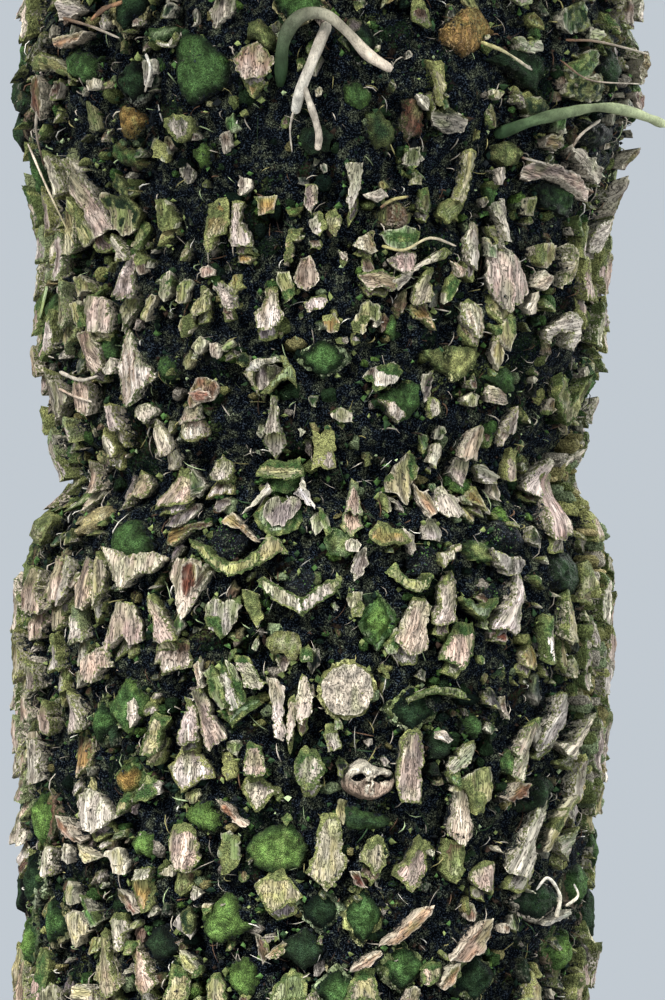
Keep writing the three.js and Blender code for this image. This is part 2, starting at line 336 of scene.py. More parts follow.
def addHoles(heap, spot, size, seed):
    angle, reach = holeRings(seed)
    share = np.linspace(1.06, 0.06, holes["rings"])[:, None]
    across = np.cos(angle) * reach * share * size[0] / 2
    up = np.sin(angle) * reach * share * size[1] / 2
    a, u = across / (size[0] / 2), up / (size[1] / 2)
    place = np.stack((across, up, across * 0), -1)
    fray = softNoise(place, 0.0022, seed + 3) - 0.5
    fleck = softNoise(place, 0.0024, seed + 1)
    slit = 0
    for middle, level, wide, tall in holes["pair"]:
        slant = level + 0.16 * (a - middle)
        aside, above = (a - middle + 0.3 * fray) / wide, (u - slant + 0.42 * fray) / tall
        slit = slit + np.exp(-(aside ** 2 + above ** 2) ** 2)
    slit = np.clip(slit, 0, 1)
    threads = sum(smoothStep(np.abs(a - at - 0.22 * fray - 0.10 * u), 0.075, 0.02) for at in holes["fibres"])
    threads = np.clip(threads, 0, 1) * smoothStep(u, 0.30, 0.12) * smoothStep(u, -0.75, -0.45)
    lip = 0.0028 * np.exp(-((share - 0.80) / 0.14) ** 2)
    out = holes["proud"] * (1 - share ** 7) + lip - holes["deep"] * slit
    out = out + (softNoise(place, 0.0034, seed) - 0.5) * 0.0024 + 0.0016 * threads
    out[0] = plate["sunk"]
    points, faces = closeLoft(np.stack((across, up, out), -1))
    points[-2] = (0, 0, -0.006)
    lit = smoothStep(u + 0.5 * (fleck - 0.5), -0.25, 0.55)
    colour = tinted(paint["pinkTan"] * 0.62, paint["cream"] * 0.95, lit) * (0.5 + 0.8 * fleck)[..., None]
    colour = tinted(colour, paint["cream"] * 1.05, threads).reshape(-1, 3)
    colour = np.concatenate((colour, colour[:1] * 0.3, colour[-holes["around"]:].mean(0)[None]))
    # black litter laid into the holes, thickest where they go deep: painted shade in the holes; round the
    # outer rim and in flecks it is litter
    dirtAndShade = 0.95 * smoothStep(slit, 0.25, 0.55) + smoothStep(share, 0.95, 1.02)
    dirtAndShade = np.clip(dirtAndShade + 0.3 * smoothStep(fleck, 0.4, 0.2) - threads, 0, 1)
    heap.add(settle(points, *spot, holes["roll"]), faces, colour, 0.08, paint["olive"],
             np.concatenate((dirtAndShade.ravel(), (1, 0))), points[:, [0, 2, 1]] + 0.5)


# Plates: broken pieces drawn by their outline in the photograph. Out is how far the face stands over the core,
# tilt how much more its lower edge stands out, swell its bulge, and cover is where the green grows
plateKinds = {
    "cap": {"out": 0.0125, "tilt": 0.0034, "swell": 0.0006, "keel": 0.0030, "flute": 0.0012, "cover": "top",
            "stainAndShade": 0.25, "waist": 0.62},
    # a foot's heavy dark stain over its top is partly painted shade under the cap over it
    "foot": {"out": 0.0085, "tilt": 0.0030, "swell": 0.0012, "keel": 0.0034, "flute": 0.0010, "cover": "rim",
             "stainAndShade": 0.95, "waist": 0.95},
    "slab": {"out": 0.0120, "tilt": 0.0010, "swell": 0.0005, "keel": 0.0014, "flute": 0.0015,
             "cover": "patch", "stainAndShade": 0.30, "waist": 0.62},
    "lip": {"out": 0.0145, "tilt": -0.0010, "swell": 0.0008, "keel": 0.0, "flute": 0.0016, "cover": "rim",
            "stainAndShade": 0.25, "waist": 0.62},
    "dome": {"out": 0.0055, "tilt": 0.0010, "swell": 0.0060, "keel": 0.0040, "flute": 0.0006, "cover": "all",
             "stainAndShade": 0.0, "waist": 0.95},
    "bed": {"out": 0.0075, "tilt": 0.0015, "swell": 0.0014, "keel": 0.0010, "flute": 0.0014, "cover": "all",
            "stainAndShade": 0.0, "waist": 0.95},
    "pit": {"out": 0.0030, "tilt": 0.0, "swell": 0.0040, "keel": 0.0, "flute": 0.0, "cover": "all",
            "stainAndShade": 0.0, "waist": 0.95},
    "disc": {"out": 0.0120, "tilt": 0.0004, "swell": 0.0010, "keel": 0.0, "flute": 0.0006, "cover": "patch",
             "stainAndShade": 0.25, "waist": 0.95},
    "leaf": {"out": 0.0140, "tilt": 0.0, "swell": 0.0004, "keel": 0.0006, "flute": 0.0006, "cover": "none",
             "stainAndShade": 0.45, "waist": 0.62},
}
# The grain is drawn out along the fibres, but a cut across them shows dots
plate = {"step": 0.0016, "ragged": 0.0013, "sunk": -0.004, "longGrain": 1.7, "drawnOut": 0.12, "dotted": 0.9}


def insideOf(points, ring):
    # which points lie inside the ring, by counting the sides that a line from each one crosses
    ahead = np.roll(ring, -1, 0)
    x, y = points[:, 0, None], points[:, 1, None]
    spans = (ring[:, 1] > y) != (ahead[:, 1] > y)
    rise = np.where(ahead[:, 1] == ring[:, 1], 1e-12, ahead[:, 1] - ring[:, 1])
    crossing = x < (ahead[:, 0] - ring[:, 0]) * (y - ring[:, 1]) / rise + ring[:, 0]
    return (spans & crossing).sum(1) % 2 == 1


def readOutline(outline, out):
    # where an outline of the picture lies on the trunk, and its corners in metres about its middle
    corners = readCorners(outline)
    middle = (corners.min(0) + corners.max(0)) / 2
    turn, along, scale = surfaceAt(*middle, out)
    return (turn, along), (corners - middle) * (scale / facing(turn), -scale)


def roughOutline(corners, seed, step):
    # the outline in small steps, with torn edges
    ring = []
    for here, there in zip(corners, np.roll(corners, -1, 0)):
        count = max(1, round(float(np.linalg.norm(there - here)) / step))
        ring.append(here + (there - here) * np.arange(count)[:, None] / count)
    ring = np.concatenate(ring)
    flat = np.concatenate((ring, np.zeros((len(ring), 1))), 1)
    shift = np.stack([softNoise(flat, size, seed + k) - 0.5 for k, size in enumerate((0.0022, 0.0026))], -1)
    return ring + shift * 2 * plate["ragged"]


def plateNet(corners, seed, step):
    # an even net of points inside the torn outline, its triangles, the sides on its rim, and how far each
    # point lies from the rim
    ring = roughOutline(corners, seed, step)
    low, high = ring.min(0), ring.max(0)
    across, up = np.meshgrid(np.arange(low[0], high[0], step), np.arange(low[1], high[1], step * 0.87))
    across = across + (np.arange(len(across)) % 2)[:, None] * step / 2
    net = np.stack((across.ravel(), up.ravel()), -1)
    net = net[insideOf(net, ring)]
    if len(net):
        gap = np.linalg.norm(net[:, None] - ring[None], axis=-1).min(1)
        net = net[gap > step * 0.55]
    points = [Vector(place) for place in np.concatenate((ring, net)).tolist()]
    sides = [(i, (i + 1) % len(ring)) for i in range(len(ring))]
    places, joins, tris = delaunay_2d_cdt(points, sides, [], 1, 1e-7)[:3]
    flat, tris = np.array([tuple(place) for place in places]), np.array(tris)
    wound = np.cross(flat[tris[:, 1]] - flat[tris[:, 0]], flat[tris[:, 2]] - flat[tris[:, 0]])
    tris = np.where((wound < 0)[:, None], tris[:, ::-1], tris)
    sides = np.concatenate((tris[:, :2], tris[:, 1:], tris[:, [2, 0]]))
    pairs = {tuple(side) for side in sides.tolist()}
    rim = np.array([side for side in pairs if side[::-1] not in pairs])
    return flat, tris, rim, np.linalg.norm(flat[:, None] - ring[None], axis=-1).min(1)


def alongGrain(flat, kind):
    # how far each point lies across and along the grain, which runs up the bark or along a long piece
    about = flat - flat.mean(0)
    sizes, axes = np.linalg.eigh(about.T @ about)
    ahead = axes[:, 1] * np.sign(axes[1, 1] or 1)
    if sizes[1] < sizes[0] * plate["longGrain"] ** 2 or kind == "lip":
        ahead = np.array((0.0, 1.0))
    return flat @ np.array((ahead[1], -ahead[0])), flat @ ahead


def plateRelief(settings, place, a, u, inner, halfWidth, seed):
    # how far the face stands out at each point: bulge, slope, ridge, grooves and broken facets
    flute = softNoise(place * (1, 0.12, 1), 0.0023, seed) - 0.5
    lump = softNoise(place, 0.0065, seed + 1) - 0.5
    grain = softNoise(place, 0.0029, seed + 2) - 0.5
    facets = np.round((softNoise(place, 0.0080, seed + 7)) * 5) / 5 - 0.5
    mossy = 1.5 if settings["cover"] == "all" else 0.25
    ridge = abs(a - mix(-0.45, 0.45, chance(seed, 6)) - mix(-0.3, 0.3, chance(seed, 7)) * u)
    out = settings["out"] + settings["swell"] * np.sqrt(1 - (1 - inner) ** 2) - settings["tilt"] * u
    out = out - (settings["keel"] * mix(0.5, 1.3, chance(seed, 8)) * np.minimum(ridge, 1.2)
                 * min(halfWidth / 0.008, 1.2))
    out = out + flute * settings["flute"] * 2 + lump * 0.0022 + facets * 0.0026
    return out + grain * 0.0022 * mossy * inner


def plateWood(settings, colours, u, gap, streak, blotch, place, seed):
    # dry wood with streaks, a stain under its upper edge, a film of algae, and worn rims; on a foot the stain
    # is partly painted shade under its cap, and the pale worn rim is partly a painted highlight along the edge
    tint, second = colours
    tone = np.array((0.99, mix(0.95, 1.01, chance(seed, 1)), mix(0.94, 1.11, chance(seed, 2))))
    colour = tinted(paint[tint], paint["cream"], 0.30 * smoothStep(blotch - 0.3 * u, 0.45, 0.85))
    colour = colour * mix(0.84, 1.12, chance(seed, 3)) * tone * (0.50 + 0.90 * streak)[:, None]
    # darker towards the upper edge: a stain, which on a foot is partly painted shade under its cap
    topStainAndShade = settings["stainAndShade"] * smoothStep(u + 0.5 * (blotch - 0.5), -0.15, 0.75)
    topStainAndShade = topStainAndShade + 0.45 * smoothStep(streak, 0.55, 0.32) + 0.30 * smoothStep(blotch, 0.40, 0.24)
    colour = tinted(colour, paint[second] * (0.5 + 0.7 * streak)[:, None], np.clip(topStainAndShade, 0, 1))
    # pale worn rim, partly a painted highlight along the edge
    worn = smoothStep(gap, 0.0013, 0.0) * (0.15 if settings["cover"] == "all" else 0.80)
    film = 0.45 * smoothStep(softNoise(place * (1, 0.5, 1), 0.0052, seed + 6) + 0.25 * u, 0.46, 0.80)
    colour = tinted(colour * 0.93, paint["olive"] * (0.35 + 0.9 * streak)[:, None], film)
    return tinted(colour, paint["cream"] * (0.55 + 0.6 * blotch)[:, None], worn * 0.75)


def plateCover(cover, u, edge, blotch, moss):
    # how green each point is, by where the green grows on such a plate
    patch = smoothStep(blotch, 0.44, 0.62)
    if cover == "top":
        capped = 1.15 - 1.5 * mix(0.12, 1.0, moss)
        top = smoothStep(u + 0.6 * (blotch - 0.5), capped, capped + 0.4)
        return top + edge * mix(0.42, 0.8, moss) + 0.6 * patch * moss
    if cover == "rim":
        return edge * (0.35 + 0.9 * moss) + patch * moss * 0.8
    if cover == "patch":
        return patch * moss * 1.5 + 0.3 * edge * moss
    return moss * (0.75 + 0.5 * patch) if cover == "all" else np.zeros(len(u))


def plateGreen(cover, colours, inner, edge, blotch, place, seed):
    # the colour of the moss and algae: brightest in the middle of a leaf base, which is painted light, darker
    # towards its edge, which is painted shade, and yellower at a broken rim
    tint, second, growth = (paint[name] for name in colours)
    fleck = softNoise(place * (1, 0.5, 1), 0.0019, seed + 5)
    if cover == "all":
        # brighter towards the middle of a leaf base and darker towards its edge: painted light and shade over
        # its swell
        middle = smoothStep(inner + 0.6 * (blotch - 0.5), 0.12, 0.85)
        leafy = tinted(growth * 0.75, tint, middle)
        leafy = tinted(leafy, second, 0.40 * smoothStep(fleck, 0.55, 0.80))
        lumps = 0.25 + 1.5 * softNoise(place, 0.0034, seed + 9)
        return leafy * ((0.30 + 0.80 * fleck + 0.42 * middle) * lumps)[:, None]
    yellow = np.clip(0.50 * smoothStep(fleck, 0.56, 0.78) + 0.30 * edge, 0, 1)
    return tinted(growth, paint["yellowGreen"], yellow) * (0.40 + 0.95 * fleck + 0.15 * inner)[:, None]


def plateDirtAndShade(kind, inner, blotch):
    # black litter amount: on a dome it thickens towards the rim, which is painted shade where the dome drops
    # to the core
    if kind == "dome":
        return 0.15 + 0.35 * smoothStep(inner, 0.30, 0.0) + 0.20 * smoothStep(blotch, 0.42, 0.25)
    if kind in ("pit", "bed"):
        return np.full(len(inner), 0.72 if kind == "pit" else 0.14)
    return 0.08 + 0.26 * smoothStep(blotch, 0.40, 0.25)


def addPlate(heap, spot, corners, kind, colours, moss, seed, lift=0.0, step=None, lean=0.0):
    # colours names the plate's own, the stain's, which on a foot is partly painted shade under its cap, and
    # the growth's
    settings = plateKinds[kind]
    colours = colours.split()
    flat, tris, rim, gap = plateNet(corners, seed, step or plate["step"])
    half = np.maximum(np.ptp(flat, axis=0) / 2, 0.001)
    middle = (flat.min(0) + flat.max(0)) / 2
    a, u = ((flat - middle) / half).T
    breadth, length = alongGrain(flat, kind)
    place = np.stack((breadth, length, flat[:, 0] * 0), -1)
    drawn = plate["dotted"] if kind == "disc" else plate["drawnOut"]
    inner = np.clip(gap / min(max(gap.max(), 0.001), 0.0075), 0, 1)
    out = plateRelief(settings, place, a, u, inner, half[0], seed) + lift + lean * smoothStep(u, -0.9, 1.1)
    top = np.concatenate((flat, out[:, None]), 1)
    low = middle + (flat - middle) * settings["waist"]
    low = np.concatenate((low, np.full((len(flat), 1), plate["sunk"])), 1)
    streak = softNoise(place * (1, drawn, 1), 0.0021, seed + 3)
    blotch = softNoise(place, 0.0060, seed + 4)
    wood = plateWood(settings, colours[:2], u, gap, streak, blotch, place, seed)
    rimWidth = min(0.0040, 0.55 * gap.max())
    edge = smoothStep(gap + rimWidth * (blotch - 0.5), rimWidth, 0.2 * rimWidth)
    leafy = plateGreen(settings["cover"], colours, inner, edge, blotch, place, seed)
    cover = np.clip(plateCover(settings["cover"], u, edge, blotch, moss), 0, 1)
    dirtAndShade = np.clip(plateDirtAndShade(kind, inner, blotch), 0, 1)
    walls = np.concatenate((rim, rim[:, ::-1] + len(flat)), 1)[:, [0, 3, 2, 1]]
    # the back ring, under the plate and along its walls, is painted darker and laid with black litter: painted
    # shade under the plate
    tint, growth = (np.concatenate((layer, layer * 0.45)) for layer in (wood, leafy))
    moss, grimeAndShade = (np.concatenate((mask, mask * 0 + deep)) for mask, deep in ((cover, 0.3), (dirtAndShade, 0.85)))
    lines = np.stack((breadth, out, length * drawn / plate["drawnOut"]), -1)
    lines = lines + np.array((0.31, 0.17, 0.23)) * (seed % 97)
    faces = walls, np.concatenate((tris, tris[:, ::-1] + len(flat)))
    heap.add(settle(np.concatenate((top, low)), *spot), faces, tint, moss, growth, grimeAndShade,
             np.concatenate((lines, lines + (0, 0.01, 0))))


# Shapes of the leaf bases that aren't drawn one by one: across and up in hundredths of half the width
# and of the height. Each scale has a cap that breaks off in a ragged edge over a foot
capShapes = {
    "bottle": "-35 100 30 97 42 80 55 62 86 45 80 38 30 42 0 36 -35 42 -84 38 -82 48 -55 66 -45 82",
    "house": "-15 100 25 94 75 74 85 50 82 38 20 42 -30 37 -85 41 -80 62 -55 85",
    "wedge": "-20 100 20 98 40 75 60 50 76 36 10 40 -40 35 -74 40 -50 62 -30 82",
    "finger": "-45 100 35 96 50 70 60 38 10 34 -60 38 -60 70",
    "slab": "-75 98 -20 90 20 100 80 94 85 60 90 30 30 24 -30 30 -90 26 -80 62",
    "diamond": "0 100 45 82 90 52 70 36 30 30 0 34 -40 28 -80 38 -92 55 -50 80",
}
footShapes = ["-62 46 62 46 95 30 100 22 60 10 0 -4 -60 10 -100 20 -92 30",
              "-50 46 50 46 66 25 44 8 0 0 -40 8 -62 25", "-70 44 68 46 78 28 30 18 6 2 -26 16 -74 26"]
baseShape = "0 100 30 84 62 72 100 50 76 30 34 14 0 0 -38 15 -72 30 -100 52 -66 70 -32 86"
lipShapes = ["-100 96 -60 82 -30 56 0 44 30 56 62 84 100 100 86 56 45 22 0 0 -45 20 -86 52",
             "-100 60 -70 84 -20 100 30 96 80 76 100 52 70 58 20 74 -20 76 -66 62 -94 40"]


def shapeCorners(shape, size, roll=0.0):
    return turned(readCorners(shape) / 100 * (size[0] / 2, size[1]) - (0, size[1] / 2), roll)


def addScale(heap, spot, size, shape, tint, low, growth, moss, roll, seed, step=None, lean=0.0):
    if shape not in ("finger", "slab"):
        foot = shapeCorners(choose(footShapes, seed, 61), size, roll)
        addPlate(heap, spot, foot, "foot", f"{tint} {low} {growth}", moss, seed + 1, step=step,
                 lean=lean * 0.3)
    cap = shapeCorners(capShapes[shape], size, roll)
    addPlate(heap, spot, cap, "cap", f"{tint} brown {growth}", moss, seed, step=step, lean=lean)


def addBase(heap, spot, size, tint, second, rim, roll, seed, step=None, proud=1.0):
    # a mossy rhombic base on the torn rim of the next one
    wider = shapeCorners(baseShape, (size[0] * 1.14, size[1] * 1.16), roll)
    addPlate(heap, spot, wider, "bed", f"{rim} {second} {second}", 0.5, seed + 1, lift=-0.003, step=step)
    addPlate(heap, spot, shapeCorners(baseShape, size, roll), "dome", f"{tint} {second} {second}", 1.0, seed,
             lift=0.004 * (proud - 1), step=step)


def addLip(heap, spot, size, tint, face, roll, seed, step=None):
    # what is left of a hollow base: a torn lip round a black hollow
    lip = choose(lipShapes, seed, 62)
    above = (spot[0], spot[1] + size[1] * (0.16 if lip == lipShapes[0] else -0.16))
    hollow = shapeCorners(baseShape, (size[0] * 0.55, size[1] * 0.6), roll)
    addPlate(heap, above, hollow, "pit", f"{face} darkMoss darkMoss", 0.5, seed + 1, step=step)
    addPlate(heap, spot, shapeCorners(lip, size, roll), "lip", f"{tint} {face} moss", 0.4, seed, step=step)


def smoothPath(points, steps):
    # a soft line through the points, and which way it runs at each step
    points = np.asarray(points, float)
    padded = np.concatenate((2 * points[:1] - points[1:2], points, 2 * points[-1:] - points[-2:-1]))
    at = np.linspace(0, len(points) - 1 - 1e-9, steps)
    i = at.astype(int)
    t = (at - i)[:, None]
    a, b, c, d = (padded[i + k] for k in range(4))
    line = 0.5 * (2 * b + (c - a) * t + (2 * a - 5 * b + 4 * c - d) * t ** 2
                  + (3 * b - a - 3 * c + d) * t ** 3)
    return line, unit(np.gradient(line, axis=0))


def unit(vectors):
    return vectors / (np.linalg.norm(vectors, axis=1)[:, None] + 1e-9)


def addTube(heap, path, radius, tint, steps=24, around=8, taper=(1, 1), seed=0, knobs=0.18, second=None):
    # a root, twig or straw along a path of places in the room
    line, ahead = smoothPath(path, steps)
    side = unit(np.cross(ahead, np.array((0.31, -0.92, 0.21))))
    above = np.cross(side, ahead)
    share = np.linspace(0, 1, steps)
    size = radius * mix(*taper, share) * (1 + knobs * (softNoise(line, radius * 4, seed) - 0.5) * 2)
    size = size * np.minimum(1, np.minimum(share, 1 - share) * 14 + 0.55)
    angle = np.linspace(0, wholeTurn, around, endpoint=False)
    ring = (line[:, None] + side[:, None] * np.cos(angle)[None, :, None] * size[:, None, None]
            + above[:, None] * np.sin(angle)[None, :, None] * size[:, None, None])
    points, faces = closeLoft(ring[:, ::-1])
    fleck = softNoise(points, radius * 1.5, seed + 2)
    far = np.concatenate((np.repeat(share ** 1.6, around), (0, 1)))
    base = tinted(paint[tint], paint[second or tint], far)
    heap.add(points, faces, base * (0.45 + 0.95 * fleck)[:, None])


def addFlake(heap, path, width, tint, second, seed, steps=12, curl=0.3):
    # a papery strip: a thin closed blade along a path over the bark
    line, ahead = smoothPath(path, steps)
    centre = np.stack((trunkAxis(line[:, 2]), line[:, 2] * 0, line[:, 2]), -1)
    outward = unit(line - centre)
    side = unit(np.cross(ahead, outward))
    side = side * math.cos(curl) + outward * math.sin(curl)
    face = np.cross(side, ahead)
    share = np.linspace(0, 1, steps)
    torn = softNoise(line, 0.006, seed)
    half = width / 2 * np.sin(math.pi * mix(0.12, 0.90, share)) ** 0.6 * (0.7 + 0.6 * torn)
    thin = 0.0007
    corners = [(-1, 0), (-0.5, 1.3), (0.1, 0.6), (0.6, 1.5), (1, 0), (0, -1)]
    ring = np.stack([line + side * half[:, None] * a + face * thin * b for a, b in corners], 1)
    points, faces = closeLoft(ring)
    fleck = softNoise(points, 0.004, seed + 3)
    base = tinted(paint[tint], paint[second], smoothStep(fleck, 0.3, 0.7))
    heap.add(points, faces, base * (0.55 + 0.7 * softNoise(points, 0.0022, seed + 4))[:, None])


taken = []  # turn, height, half width, half height of what has its place in the photograph


def keepPlace(spot, size):
    taken.append((*spot, size[0] / 2, size[1] / 2))


